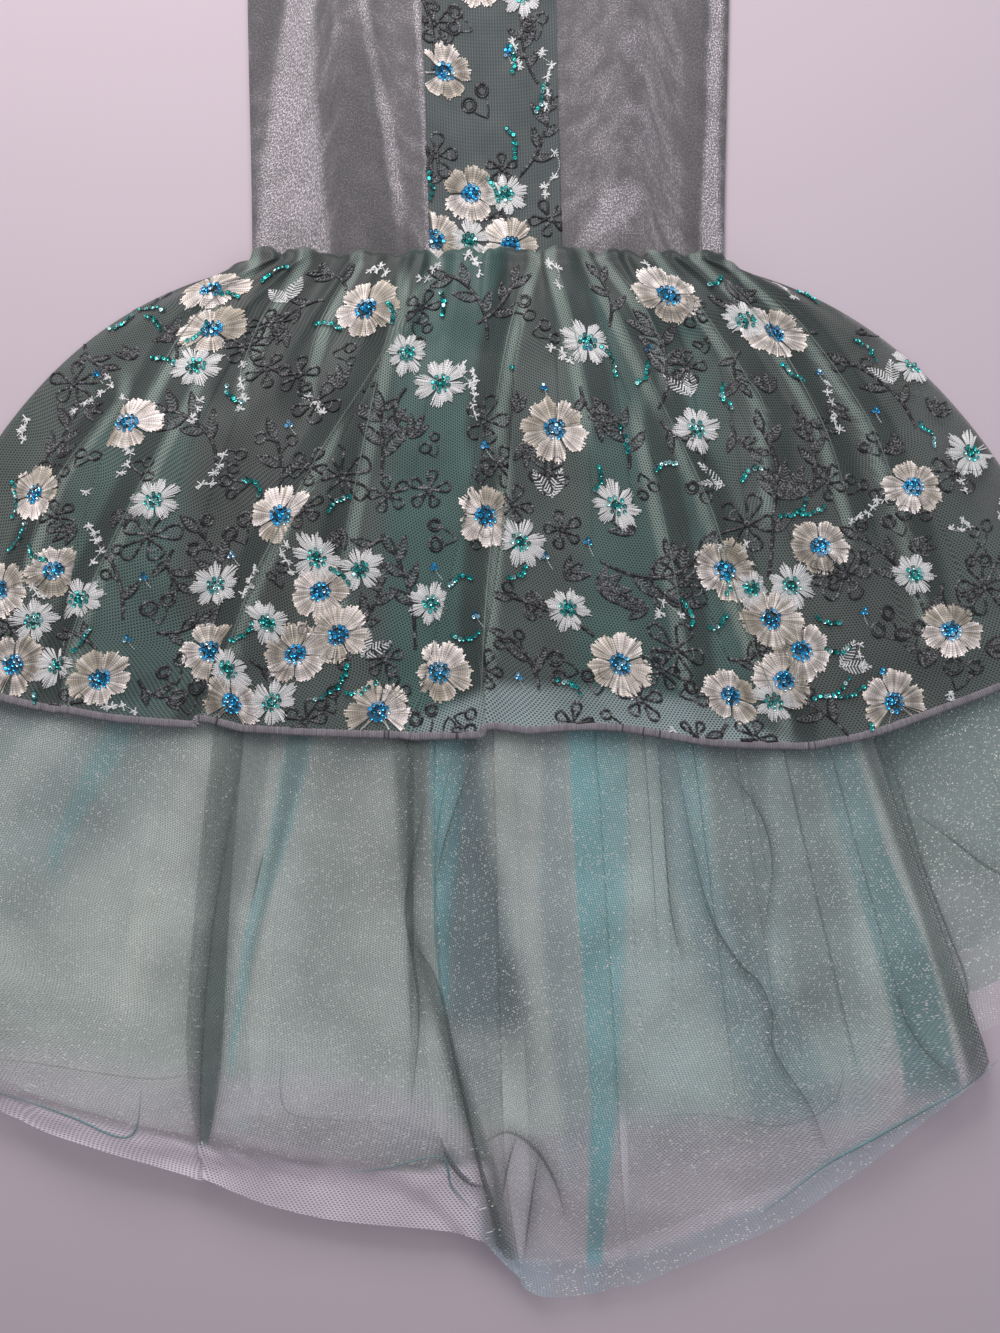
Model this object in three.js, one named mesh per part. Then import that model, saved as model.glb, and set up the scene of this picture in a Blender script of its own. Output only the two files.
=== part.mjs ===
// A child's romantic tutu, laid out flat on its back with the front up: a velvet bodice with an
// embroidered centre panel and two straps, a gathered embroidered overskirt with a bound hem, and
// a petticoat of three tulle layers, each of which goes all round as a front and a back.
// Millimetres. +Z up from the surface that it lies on, +Y from the hem towards the neck, +X to the
// right as seen from above. The origin is the middle of the footprint.
import * as THREE from "three";

// ---- Driving dimensions ----
const WAIST_HALF = 143; // half the flat waist seam
const TULLE = 1.2; // wall of one tulle layer
const VELVET = 1.5; // wall of one bodice panel
const GAP = 0.4; // clearance between pieces that touch
const BINDING_WIDTH = 4.8; // bound edge of the overskirt
const BINDING_WALL = 1.8;
const RISE_LENGTH = 90; // a layer's waves reach their full height this far below the waist
const EDGE_SHARE = 0.55; // of that height that is left at a layer's edges
const EDGE_WIDTH = 50; // it falls to that share over this distance
const GATHER_LENGTH = 170; // the small pleats of the seam fade into the flares over this distance
const GATHERS_LEFT = 0.15; // of them, at the end of it
const HEM_WAVE = 5; // how far a fold at full rise lowers the hem
const START_BELOW_SEAM = 0.5; // the layers begin this far below the bodice's edge
const SIDE_BOW = 2.5; // how closely the bow of a layer's lines keeps to its sides, as a power
const UNEVEN_GATHERS = { amount: 0.018, rate: 9 }; // crowds some of the small pleats together

// ---- Small helpers ----
const clamp01 = (t) => Math.min(1, Math.max(0, t));
const smooth = (t) => clamp01(t) ** 2 * (3 - 2 * clamp01(t));
const mix = (a, b, t) => a + (b - a) * t;
const upTo = (count) => Array.from({ length: count + 1 }, (_, k) => k / count);

// A table's value at a place, by a smooth curve through its rows, which are [place, value, ...].
function readTable(rows, place, column) {
  const found = rows.findIndex((row) => row[0] >= place);
  const k = found < 0 ? rows.length - 1 : Math.max(found, 1);
  const [p0, p1] = [rows[k - 1], rows[k]];
  const before = rows[k - 2] ?? p0;
  const after = rows[k + 1] ?? p1;
  const span = p1[0] - p0[0];
  const t = (place - p0[0]) / span;
  const slope0 = ((p1[column] - before[column]) / (p1[0] - before[0])) * span;
  const slope1 = ((after[column] - p0[column]) / (after[0] - p0[0])) * span;
  const [t2, t3] = [t * t, t * t * t];
  return (
    (2 * t3 - 3 * t2 + 1) * p0[column] +
    (t3 - 2 * t2 + t) * slope0 +
    (3 * t2 - 2 * t3) * p1[column] +
    (t3 - t2) * slope1
  );
}

// ---- Walls ----
function normalsOf(grid) {
  const [lastRow, lastColumn] = [grid.length - 1, grid[0].length - 1];
  return grid.map((row, r) =>
    row.map((_, c) => {
      const down = grid[Math.min(r + 1, lastRow)][c].clone().sub(grid[Math.max(r - 1, 0)][c]);
      const across = row[Math.min(c + 1, lastColumn)].clone().sub(row[Math.max(c - 1, 0)]);
      return down.cross(across).normalize();
    }),
  );
}

// A closed wall of even thickness about a grid of mid-surface points, grid[row][column].
function wallGeometry(grid, thickness, normals = normalsOf(grid)) {
  const [rows, cols] = [grid.length, grid[0].length];
  const positions = [thickness / 2, -thickness / 2].flatMap((out) =>
    grid.flatMap((row, r) =>
      row.flatMap((p, c) => p.clone().addScaledVector(normals[r][c], out).toArray()),
    ),
  );
  const front = (r, c) => r * cols + c;
  const back = (r, c) => rows * cols + r * cols + c;
  const index = [];
  const quad = (a, b, c, d) => index.push(a, b, c, a, c, d);
  for (let r = 0; r < rows - 1; r++) {
    for (let c = 0; c < cols - 1; c++) {
      quad(front(r, c), front(r + 1, c), front(r + 1, c + 1), front(r, c + 1));
      quad(back(r, c), back(r, c + 1), back(r + 1, c + 1), back(r + 1, c));
    }
    const last = cols - 1;
    quad(front(r, 0), back(r, 0), back(r + 1, 0), front(r + 1, 0));
    quad(front(r, last), front(r + 1, last), back(r + 1, last), back(r, last));
  }
  for (let c = 0; c < cols - 1; c++) {
    const last = rows - 1;
    quad(front(0, c), front(0, c + 1), back(0, c + 1), back(0, c));
    quad(front(last, c), back(last, c), back(last, c + 1), front(last, c + 1));
  }
  const geometry = new THREE.BufferGeometry();
  geometry.setAttribute("position", new THREE.Float32BufferAttribute(positions, 3));
  geometry.setIndex(index);
  geometry.computeVertexNormals();
  return geometry;
}

// ---- Laying one layer on those under it ----
// A map of how high the cloth that has been laid already stands, 0 where there is none.
const CELL = 3;
const FIELD = { left: -450, bottom: -690, columns: 300, rows: 250 };
const heights = new Float32Array(FIELD.columns * FIELD.rows);
const cellAt = (x, y) =>
  Math.floor((x - FIELD.left) / CELL) + FIELD.columns * Math.floor((y - FIELD.bottom) / CELL);

// Points spread over a grid's triangles: the three corners of each, as row * columns + column,
// their weights, and the map's cell.
function samplesOf(grid) {
  const cols = grid[0].length;
  const points = grid.flat();
  const samples = [];
  const spread = (corners) => {
    const [a, b, c] = corners.map((k) => points[k]);
    const longest = Math.max(
      Math.hypot(a.x - b.x, a.y - b.y),
      Math.hypot(b.x - c.x, b.y - c.y),
      Math.hypot(c.x - a.x, c.y - a.y),
    );
    const steps = Math.max(1, Math.ceil(longest / CELL));
    for (let i = 0; i <= steps; i++) {
      for (let j = 0; j <= steps - i; j++) {
        const weights = [i / steps, j / steps, (steps - i - j) / steps];
        const x = weights[0] * a.x + weights[1] * b.x + weights[2] * c.x;
        const y = weights[0] * a.y + weights[1] * b.y + weights[2] * c.y;
        samples.push({ corners, weights, cell: cellAt(x, y) });
      }
    }
  };
  for (let r = 0; r < grid.length - 1; r++) {
    for (let c = 0; c < cols - 1; c++) {
      const k = r * cols + c;
      spread([k, k + cols, k + cols + 1]);
      spread([k, k + cols + 1, k + 1]);
    }
  }
  return samples;
}
const valueAt = (values, { corners, weights }) =>
  corners.reduce((sum, k, i) => sum + weights[i] * values[k], 0);

// A low, soft surface that clears the map everywhere, as a height for each of a grid's points.
const SOFTENING_ROUNDS = 6;
function heightsUnder(grid, samples) {
  const cols = grid[0].length;
  let base = grid.flat().map((p) => heights[cellAt(p.x, p.y)]);
  for (let round = 0; round < SOFTENING_ROUNDS; round++) {
    base = base.map((value, k) => {
      const left = k % cols ? base[k - 1] : value;
      const right = (k + 1) % cols ? base[k + 1] : value;
      const up = base[k - cols] ?? value;
      const down = base[k + cols] ?? value;
      return value / 2 + (left + right + up + down) / 8;
    });
    for (const sample of samples) {
      const short = heights[sample.cell] - valueAt(base, sample);
      if (short <= 0) continue;
      const total = sample.weights.reduce((sum, w) => sum + w * w, 0);
      sample.corners.forEach((k, i) => (base[k] += (short * sample.weights[i]) / total));
    }
  }
  return base;
}

// Adds a laid grid to the map, and to the cells beside it, for the sideways reach of its wall.
function addToMap(grid, samples, wall) {
  const tops = grid.flat().map((p) => p.z + wall / 2);
  for (const sample of samples) {
    const top = valueAt(tops, sample);
    for (const down of [-1, 0, 1]) {
      for (const across of [-1, 0, 1]) {
        const cell = sample.cell + down * FIELD.columns + across;
        heights[cell] = Math.max(heights[cell], top);
      }
    }
  }
}

// ---- The skirt's layers ----
// Hems: where a layer's edge lies, by u, which runs across it from -1 at its left fold to 1.
// Sides: how far the middle of a side edge stands off the straight line from waist to hem.
// Folds: the flares that widen down to the hem. at and half are in u, rise is the share of the
// layer's loft that the fold takes, and lean how steep its one side is: 0 is even, 1 upright.
const OVERSKIRT_HEM = [
  // [u, x, y]
  [-1, -356, -227],
  [-0.8, -293, -257],
  [-0.6, -227, -270],
  [-0.4, -160, -276],
  [-0.2, -85, -280],
  [0, -8, -281],
  [0.2, 67, -276],
  [0.4, 140, -286],
  [0.6, 210, -284],
  [0.8, 290, -259],
  [1, 364, -227],
];
const OVERSKIRT_SIDES = { left: [-41, 86], right: [37, 82] };
const OVERSKIRT_FOLDS = [
  // [at, half, rise, lean]
  [-0.88, 0.11, 0.6, 0.5],
  [-0.66, 0.11, 0.8, 0.7],
  [-0.44, 0.11, 1.0, 0.85],
  [-0.235, 0.095, 0.6, 0.5],
  [-0.04, 0.1, 1.0, 0.85],
  [0.15, 0.09, 0.6, 0.4],
  [0.34, 0.1, 0.8, -0.7],
  [0.53, 0.09, 0.8, -0.7],
  [0.71, 0.09, 0.6, -0.5],
  [0.9, 0.1, 0.6, -0.5],
];
const OUTER_HEM = [
  [-1, -395, -440],
  [-0.75, -293, -508],
  [-0.5, -190, -545],
  [-0.3, -105, -573],
  [-0.1, -20, -585],
  [0.05, 35, -620],
  [0.2, 82, -616],
  [0.35, 122, -601],
  [0.55, 175, -578],
  [0.8, 245, -528],
  [1, 303, -482],
];
const OUTER_FOLDS = [
  [-0.88, 0.12, 0.7, 0.6],
  [-0.66, 0.1, 0.6, 0.5],
  [-0.45, 0.11, 1.0, 0.85],
  [-0.24, 0.1, 0.7, -0.6],
  [-0.04, 0.1, 1.0, 0.85],
  [0.14, 0.08, 0.6, -0.6],
  [0.31, 0.09, 0.9, 0.8],
  [0.5, 0.1, 0.7, -0.7],
  [0.7, 0.1, 0.8, -0.7],
  [0.9, 0.1, 0.9, -0.8],
];
const MIDDLE_HEM = [
  [-1, -375, -428],
  [-0.75, -285, -494],
  [-0.5, -190, -522],
  [-0.25, -85, -541],
  [0, 10, -550],
  [0.25, 90, -572],
  [0.5, 165, -560],
  [0.75, 240, -512],
  [1, 296, -462],
];
const MIDDLE_FOLDS = [
  [-0.87, 0.13, 0.7, 0.7],
  [-0.62, 0.12, 0.7, -0.7],
  [-0.38, 0.12, 0.9, 0.8],
  [-0.14, 0.12, 0.9, 0.8],
  [0.07, 0.09, 0.5, 0.4],
  [0.27, 0.11, 1.0, 0.85],
  [0.49, 0.11, 0.9, 0.8],
  [0.7, 0.1, 0.6, -0.5],
  [0.9, 0.1, 0.9, -0.8],
];
const INNER_HEM = [
  [-1, -360, -412],
  [-0.6, -225, -483],
  [-0.3, -120, -508],
  [0, 0, -512],
  [0.3, 95, -498],
  [0.65, 205, -488],
  [1, 288, -442],
];
const BACK_OUTER_HEM = [
  [-1, -402, -425],
  [-0.6, -255, -490],
  [-0.3, -130, -530],
  [0, 0, -552],
  [0.3, 110, -548],
  [0.65, 270, -478],
  [1, 400, -415],
];
const BACK_MIDDLE_HEM = [
  [-1, -388, -410],
  [-0.6, -245, -470],
  [-0.3, -125, -505],
  [0, 0, -522],
  [0.3, 105, -520],
  [0.65, 258, -455],
  [1, 382, -398],
];
const BACK_INNER_HEM = [
  [-1, -370, -392],
  [-0.6, -235, -448],
  [-0.3, -120, -478],
  [0, 0, -492],
  [0.3, 100, -490],
  [0.65, 245, -432],
  [1, 362, -380],
];
const FRONT_SIDES = { left: [-30, 36], right: [-16, 0] };
const BACK_SIDES = { left: [-38, 46], right: [44, 42] };

// Even flares for a layer that hardly shows. phase makes each layer's differ.
function evenFolds(count, lean, phase) {
  return Array.from({ length: count }, (_, k) => [
    -1 + (2 * k + 1) / count,
    1 / count,
    0.75 + 0.15 * Math.sin(2.1 * k + phase),
    lean * Math.sin(1.3 * k + phase),
  ]);
}

// Shares of the way down at which a layer has a row of points, closer together at both ends.
const FEW_ROWS = [0, 0.1, 0.28, 0.5, 0.75, 1];
const MORE_ROWS = [0, 0.06, 0.15, 0.28, 0.43, 0.58, 0.72, 0.84, 0.93, 1];

// From the surface up. loft is half the height of a layer's waves, and gathers is how many small
// pleats are drawn up at the waist seam, loftWaist half of their height there.
const LAYERS = [
  {
    node: "overskirt_back",
    hem: OVERSKIRT_HEM,
    sides: OVERSKIRT_SIDES,
    folds: [],
    loft: 0,
    rows: FEW_ROWS,
    columns: 26,
    binding: TULLE,
  },
  {
    node: "underskirt_back_outer",
    hem: BACK_OUTER_HEM,
    sides: BACK_SIDES,
    folds: evenFolds(9, 0.7, 0.4),
    loft: 1.0,
    rows: FEW_ROWS,
    columns: 36,
  },
  {
    node: "underskirt_back_middle",
    hem: BACK_MIDDLE_HEM,
    sides: BACK_SIDES,
    folds: evenFolds(9, 0.7, 1.9),
    loft: 1.0,
    rows: FEW_ROWS,
    columns: 36,
  },
  {
    node: "underskirt_back_inner",
    hem: BACK_INNER_HEM,
    sides: BACK_SIDES,
    folds: evenFolds(9, 0.7, 3.3),
    loft: 1.0,
    rows: FEW_ROWS,
    columns: 36,
  },
  {
    node: "underskirt_front_inner",
    hem: INNER_HEM,
    sides: FRONT_SIDES,
    folds: evenFolds(9, 0.9, 2.6),
    loft: 2.2,
    rows: MORE_ROWS,
    columns: 40,
  },
  {
    node: "underskirt_front_middle",
    hem: MIDDLE_HEM,
    sides: FRONT_SIDES,
    folds: MIDDLE_FOLDS,
    loft: 2.8,
    rows: MORE_ROWS,
    columns: 56,
  },
  {
    node: "underskirt_front_outer",
    hem: OUTER_HEM,
    sides: FRONT_SIDES,
    folds: OUTER_FOLDS,
    loft: 3.4,
    rows: MORE_ROWS,
    columns: 64,
  },
  {
    node: "overskirt_front",
    hem: OVERSKIRT_HEM,
    sides: OVERSKIRT_SIDES,
    folds: OVERSKIRT_FOLDS,
    gathers: 18,
    loftWaist: 2.2,
    loft: 4.0,
    rows: MORE_ROWS,
    columns: 72,
    binding: BINDING_WALL,
  },
];

// Plan of a layer: [x, y] at u across and v down, on lines that bow out towards the sides.
function fanPoint(layer, u, v) {
  const waist = [WAIST_HALF * u, -START_BELOW_SEAM];
  const hem = [readTable(layer.hem, u, 1), readTable(layer.hem, u, 2)];
  const side = u < 0 ? layer.sides.left : layer.sides.right;
  const bow = Math.abs(u) ** SIDE_BOW;
  return [0, 1].map((k) => {
    const middle = (waist[k] + hem[k]) / 2 + side[k] * bow;
    return (1 - v) ** 2 * waist[k] + 2 * v * (1 - v) * middle + v ** 2 * hem[k];
  });
}

const belowWaist = (x, y) => Math.hypot(Math.max(0, Math.abs(x) - WAIST_HALF), y);

// A layer's wave at u, from -1 to 1, and how far it is carried over to the side, in u.
function foldsAt(layer, u) {
  const fold = layer.folds.find(([at, half]) => Math.abs(u - at) < half);
  if (!fold) return { wave: 0, shift: 0 };
  const [at, half, rise, lean] = fold;
  const wave = Math.sin((Math.PI * (u - at)) / half);
  return { wave: wave * rise, shift: (-lean * half * wave) / Math.PI };
}
function gatherAt(layer, u) {
  const crowded = u + UNEVEN_GATHERS.amount * Math.sin(UNEVEN_GATHERS.rate * u);
  return layer.gathers ? Math.sin(Math.PI * layer.gathers * crowded) : 0;
}

// A point of a layer in plan, its folds laid over, with z as its height above what it lies on.
function wavePoint(layer, u, v) {
  const [x0, y0] = fanPoint(layer, u, v);
  const step = 0.01;
  const [xa, ya] = fanPoint(layer, u - step, v);
  const [xb, yb] = fanPoint(layer, u + step, v);
  const depth = belowWaist(x0, y0);
  const { wave, shift } = foldsAt(layer, u);
  const gathered = layer.gathers ? mix(1, GATHERS_LEFT, smooth(depth / GATHER_LENGTH)) : 0;
  const opened = smooth(depth / RISE_LENGTH);
  const over = (shift * opened * (1 - gathered)) / (2 * step);
  const toSide = ((1 - Math.abs(u)) * Math.abs(xb - xa)) / (2 * step);
  const toEdge = Math.min(toSide, (1 - v) * depth);
  const share = mix(1, mix(EDGE_SHARE, 1, smooth(toEdge / EDGE_WIDTH)), opened);
  const loft = mix(layer.loftWaist ?? 0, layer.loft * share, opened);
  const height = wave * (1 - gathered) + gatherAt(layer, u) * gathered;
  return new THREE.Vector3(
    x0 + (xb - xa) * over,
    y0 + (yb - ya) * over - HEM_WAVE * wave * (1 - gathered) * v * v,
    loft * (1 + height),
  );
}

const columnsOf = (layer) => upTo(layer.columns).map((share) => 2 * share - 1);

// The outer edge of the strip that binds an overskirt's hem.
function bindingEdge(layer) {
  return columnsOf(layer).map((u) => {
    const edge = wavePoint(layer, u, 1);
    const above = wavePoint(layer, u, 0.97);
    const down = edge.clone().sub(above).setZ(0).normalize();
    return edge.addScaledVector(down, GAP + BINDING_WIDTH);
  });
}

// Lays a layer, with its binding if it has one, on what is under it, and returns its grid. The
// last row is then the binding's outer edge.
function layDown(layer) {
  const grid = layer.rows.map((v) => columnsOf(layer).map((u) => wavePoint(layer, u, v)));
  if (layer.binding) grid.push(bindingEdge(layer));
  const samples = samplesOf(grid);
  const base = heightsUnder(grid, samples);
  const thickest = Math.max(TULLE, layer.binding ?? 0);
  const clearance = layer === LAYERS[0] ? 0 : GAP + (thickest - TULLE) / 2;
  grid.flat().forEach((p, k) => (p.z += base[k] + clearance + TULLE / 2));
  addToMap(grid, samples, thickest);
  return grid;
}

// The strip between the last two rows of a grid, its near edge moved clear of the skirt's.
function bindingOf(grid, normals, wall) {
  const [hem, outer] = grid.slice(-2);
  const near = hem.map((p, c) => {
    const down = outer[c].clone().sub(p).normalize();
    return p.clone().addScaledVector(down, GAP);
  });
  return wallGeometry([near, outer], wall, normals.slice(-2));
}

// The head of the gathers: the overskirt comes out of the seam on the bodice and rolls over.
const HEAD = [
  // [y above the waist, share of the height from the seam up to the first skirt row]
  [1.2, 0],
  [4.6, 0.22],
  [5.8, 0.6],
  [3.8, 0.96],
];
const HEAD_SWELL = 1.2; // how far the gathers push it in and out
const FRONT_MIDDLE = VELVET * 1.5 + GAP; // height of the middle of the bodice's front panels
function headOf(layer, firstRow) {
  const seamHeight = FRONT_MIDDLE + VELVET / 2 + GAP + TULLE / 2;
  return HEAD.map(([forward, share], k) =>
    firstRow.map((first, c) => {
      const swell = k ? HEAD_SWELL * gatherAt(layer, columnsOf(layer)[c]) : 0;
      return new THREE.Vector3(first.x, forward + swell, mix(seamHeight, first.z, share));
    }),
  );
}

// ---- The bodice ----
const UNDERARM = { x: 146, y: 186 };
const STRAP = { x: 85, half: 7, wall: 1.3, top: 336, turnSteps: 6 };
const STRAP_SEAT = { inner: STRAP.x - STRAP.half - 1, outer: STRAP.x + STRAP.half + 1 };
const FRONT_NECK = { strapY: 250, dip: 34 };
const BACK_NECK = { strapY: 238, dip: 62 };
const CENTRE_SEAMS = {
  left: { waist: -35, slope: -0.032 }, // x at the waist, and its change for each mm of height
  right: { waist: 45, slope: -0.026 },
};
const SEAM_TOP = { left: -42, right: 39 }; // about where those seams meet the neckline
const RIDGES = [
  // [x at the waist, x at the underarm, half width, height]
  [-116, -112, 26, 2.6],
  [-62, -80, 12, 1.6],
  [80, 76, 22, 1.5],
  [126, 130, 13, 2.2],
];
const RIDGE_RISE = 30; // the ridges reach their full height this far above the waist
const PANEL_ROWS = 9;
const bodiceHalf = (y) => mix(WAIST_HALF, UNDERARM.x, smooth(y / UNDERARM.y));

// The top edge at x: the neckline's dip, the strap's seat, then the armhole.
function bodiceTop(x, neck) {
  const side = Math.abs(x);
  const { inner, outer } = STRAP_SEAT;
  if (side <= inner) return neck.strapY - neck.dip * (1 - (side / inner) ** 2.4);
  if (side <= outer) return neck.strapY;
  const t = clamp01((side - outer) / (UNDERARM.x - outer));
  return mix(neck.strapY, UNDERARM.y, 1 - (1 - t) ** 2.2);
}

function ridgeAt(x, y) {
  const fade = smooth(y / RIDGE_RISE);
  return RIDGES.reduce((height, [atWaist, atTop, half, rise]) => {
    const t = (x - mix(atWaist, atTop, y / UNDERARM.y)) / half;
    return height + (Math.abs(t) < 1 ? rise * fade * Math.cos((Math.PI * t) / 2) ** 2 : 0);
  }, 0);
}

// A panel between two edges, each a function that gives x at y. corners are the x of the edges
// and of the strap's seat along the top, and counts how many columns lie between them.
function panelGrid({ edges, corners, counts, neck, middle, ridged }) {
  const topX = counts.flatMap((count, k) =>
    upTo(count)
      .slice(k ? 1 : 0)
      .map((share) => mix(corners[k], corners[k + 1], share)),
  );
  const [left, right] = edges;
  return upTo(PANEL_ROWS).map((down) =>
    topX.map((x) => {
      const y = bodiceTop(x, neck) * (1 - down);
      const share = (x - topX[0]) / (topX.at(-1) - topX[0]);
      const panelX = mix(left(y), right(y), share);
      return new THREE.Vector3(panelX, y, middle + (ridged ? ridgeAt(panelX, y) : 0));
    }),
  );
}

// A strap is one strip that leaves the front, folds over at the shoulder and goes down the back.
function strapGrid(side) {
  const radius = (FRONT_MIDDLE - STRAP.wall / 2) / 2;
  const turn = upTo(STRAP.turnSteps).map((share) => Math.PI * (0.5 - share));
  const path = [
    [FRONT_NECK.strapY + GAP, FRONT_MIDDLE],
    ...turn.map((angle) => [
      STRAP.top - radius - STRAP.wall / 2 + radius * Math.cos(angle),
      STRAP.wall / 2 + radius + radius * Math.sin(angle),
    ]),
    [BACK_NECK.strapY + GAP, STRAP.wall / 2],
  ];
  return path.map(([y, z]) =>
    [1, -1].map((edge) => new THREE.Vector3(side * STRAP.x + edge * STRAP.half, y, z)),
  );
}

// ---- Materials ----
const cloth = (color, roughness, opacity = 1) =>
  new THREE.MeshStandardMaterial({ color, roughness, opacity, transparent: opacity < 1 });
const velvet = cloth(0x77747a, 0.55);
const lace = cloth(0x5d6a66, 0.7);
const bindingCloth = cloth(0x8e888c, 0.8);
const tulle = {
  outer: cloth(0x8d9b96, 0.6, 0.6),
  middle: cloth(0x5fa3a8, 0.6, 0.6),
  inner: cloth(0x567483, 0.6, 0.6),
};
const embroideredTulle = cloth(0x62726b, 0.7, 0.8);

// ---- The pieces ----
const part = new THREE.Group();
function addPiece(name, geometry, material) {
  const mesh = new THREE.Mesh(geometry, material);
  mesh.name = name;
  part.add(mesh);
}

for (const layer of LAYERS) {
  const laid = layDown(layer);
  const grid = layer.gathers ? [...headOf(layer, laid[0]), ...laid] : laid;
  const normals = normalsOf(grid);
  const skirt = layer.binding ? grid.slice(0, -1) : grid;
  const shade = layer.node.split("_").at(-1);
  addPiece(layer.node, wallGeometry(skirt, TULLE, normals), tulle[shade] ?? embroideredTulle);
  if (!layer.binding) continue;
  addPiece(`${layer.node}_binding`, bindingOf(grid, normals, layer.binding), bindingCloth);
}

const sideEdge = (side) => (y) => side * bodiceHalf(y);
const seamEdge = ({ waist, slope }, gap) => (y) => waist + slope * y + gap / 2;
const { inner: SEAT_IN, outer: SEAT_OUT } = STRAP_SEAT;
const front = { neck: FRONT_NECK, middle: FRONT_MIDDLE };
const PANELS = {
  bodice_back: {
    edges: [sideEdge(-1), sideEdge(1)],
    corners: [-UNDERARM.x, -SEAT_OUT, -SEAT_IN, SEAT_IN, SEAT_OUT, UNDERARM.x],
    counts: [7, 2, 12, 2, 7],
    neck: BACK_NECK,
    middle: VELVET / 2,
  },
  bodice_front_left: {
    edges: [sideEdge(-1), seamEdge(CENTRE_SEAMS.left, -GAP)],
    corners: [-UNDERARM.x, -SEAT_OUT, -SEAT_IN, SEAM_TOP.left],
    counts: [7, 2, 5],
    ridged: true,
    ...front,
  },
  bodice_front_centre: {
    edges: [seamEdge(CENTRE_SEAMS.left, GAP), seamEdge(CENTRE_SEAMS.right, -GAP)],
    corners: [SEAM_TOP.left, SEAM_TOP.right],
    counts: [8],
    ...front,
  },
  bodice_front_right: {
    edges: [seamEdge(CENTRE_SEAMS.right, GAP), sideEdge(1)],
    corners: [SEAM_TOP.right, SEAT_IN, SEAT_OUT, UNDERARM.x],
    counts: [5, 2, 7],
    ridged: true,
    ...front,
  },
};
for (const [name, panel] of Object.entries(PANELS)) {
  const material = name.endsWith("centre") ? lace : velvet;
  addPiece(name, wallGeometry(panelGrid(panel), VELVET), material);
}
addPiece("strap_left", wallGeometry(strapGrid(-1), STRAP.wall), velvet);
addPiece("strap_right", wallGeometry(strapGrid(1), STRAP.wall), velvet);

// The origin is the middle of the footprint, on the surface.
const box = new THREE.Box3().setFromObject(part);
part.position.set(-(box.min.x + box.max.x) / 2, -(box.min.y + box.max.y) / 2, -box.min.z);

export default part;
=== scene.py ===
"""A child's romantic tutu laid flat: the looks of its velvet, nets, tulles and embroidery.

Cloth is worked out in millimetres in the garment's own plan, with the middle of the waist seam at
0, 0, +y towards the neck and z up from the floor, and is moved to the frame, in metres, at the end.
"""
import itertools
import math

import bpy
import numpy as np
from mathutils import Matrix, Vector
from mathutils.bvhtree import BVHTree


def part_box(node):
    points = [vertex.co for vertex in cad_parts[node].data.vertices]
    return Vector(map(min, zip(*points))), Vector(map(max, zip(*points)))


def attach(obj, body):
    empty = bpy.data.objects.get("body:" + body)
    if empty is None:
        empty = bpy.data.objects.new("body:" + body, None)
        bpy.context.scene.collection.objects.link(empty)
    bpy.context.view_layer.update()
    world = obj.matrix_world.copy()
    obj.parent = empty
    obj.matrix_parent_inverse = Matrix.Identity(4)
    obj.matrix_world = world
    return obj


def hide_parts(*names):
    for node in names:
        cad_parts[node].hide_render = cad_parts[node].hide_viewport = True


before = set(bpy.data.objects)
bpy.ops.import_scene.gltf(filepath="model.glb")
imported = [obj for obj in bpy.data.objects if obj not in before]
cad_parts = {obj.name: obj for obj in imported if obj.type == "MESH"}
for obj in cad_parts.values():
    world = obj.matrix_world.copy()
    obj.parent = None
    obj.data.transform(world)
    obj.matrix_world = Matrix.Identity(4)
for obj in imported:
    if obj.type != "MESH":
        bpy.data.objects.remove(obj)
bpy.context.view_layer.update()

rng = np.random.default_rng(7)

# ---- The garment's driving sizes, in mm ----
WAIST_HALF = 143.0
START_BELOW_SEAM = 0.5
SIDE_BOW = 2.5
BINDING_WIDTH = 4.8
FRONT_PANEL_HEIGHT = 2.65  # of the middle of the bodice's front panels
PX = 0.6  # mm for each pixel of the picture
WAIST_PX = (488.0, 262.0)  # where the middle of the waist seam is in it

bodice_low, bodice_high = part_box("bodice_back")
ORIGIN_X = (bodice_low[0] + bodice_high[0]) / 2
ORIGIN_Y = bodice_low[1]


def to_frame(points):
    """Garment millimetres to the frame's metres."""
    return np.asarray(points) / 1000 + np.array([ORIGIN_X, ORIGIN_Y, 0.0])


def plan(px, py):
    """A place in the picture to garment millimetres."""
    return (np.asarray(px, float) - WAIST_PX[0]) * PX, (WAIST_PX[1] - np.asarray(py, float)) * PX


def smooth(t):
    t = np.clip(t, 0, 1)
    return t * t * (3 - 2 * t)


def mix(a, b, t):
    return a + (b - a) * t


def unit(vectors):
    return vectors / (np.linalg.norm(vectors, axis=-1, keepdims=True) + 1e-9)


def polar(reach, angle):
    return np.stack([reach * np.cos(angle), reach * np.sin(angle)], axis=-1)


def totals(steps, axis):
    """Running totals of steps along an axis, from 0."""
    return np.insert(np.cumsum(steps, axis=axis), 0, 0, axis=axis)


def read_table(rows, place):
    """The columns of a table at places, by a smooth curve through its rows."""
    rows = np.asarray(rows, float)
    at = rows[:, 0]
    slopes = np.gradient(rows[:, 1:], at, axis=0)
    k = np.clip(np.searchsorted(at, place), 1, len(at) - 1)
    span = (at[k] - at[k - 1])[..., None]
    t = (place[..., None] - at[k - 1][..., None]) / span
    t2, t3 = t * t, t * t * t
    value = (
        (2 * t3 - 3 * t2 + 1) * rows[k - 1, 1:]
        + (t3 - 2 * t2 + t) * slopes[k - 1] * span
        + (3 * t2 - 2 * t3) * rows[k, 1:]
        + (t3 - t2) * slopes[k] * span
    )
    return [value[..., c] for c in range(rows.shape[1] - 1)]


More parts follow.
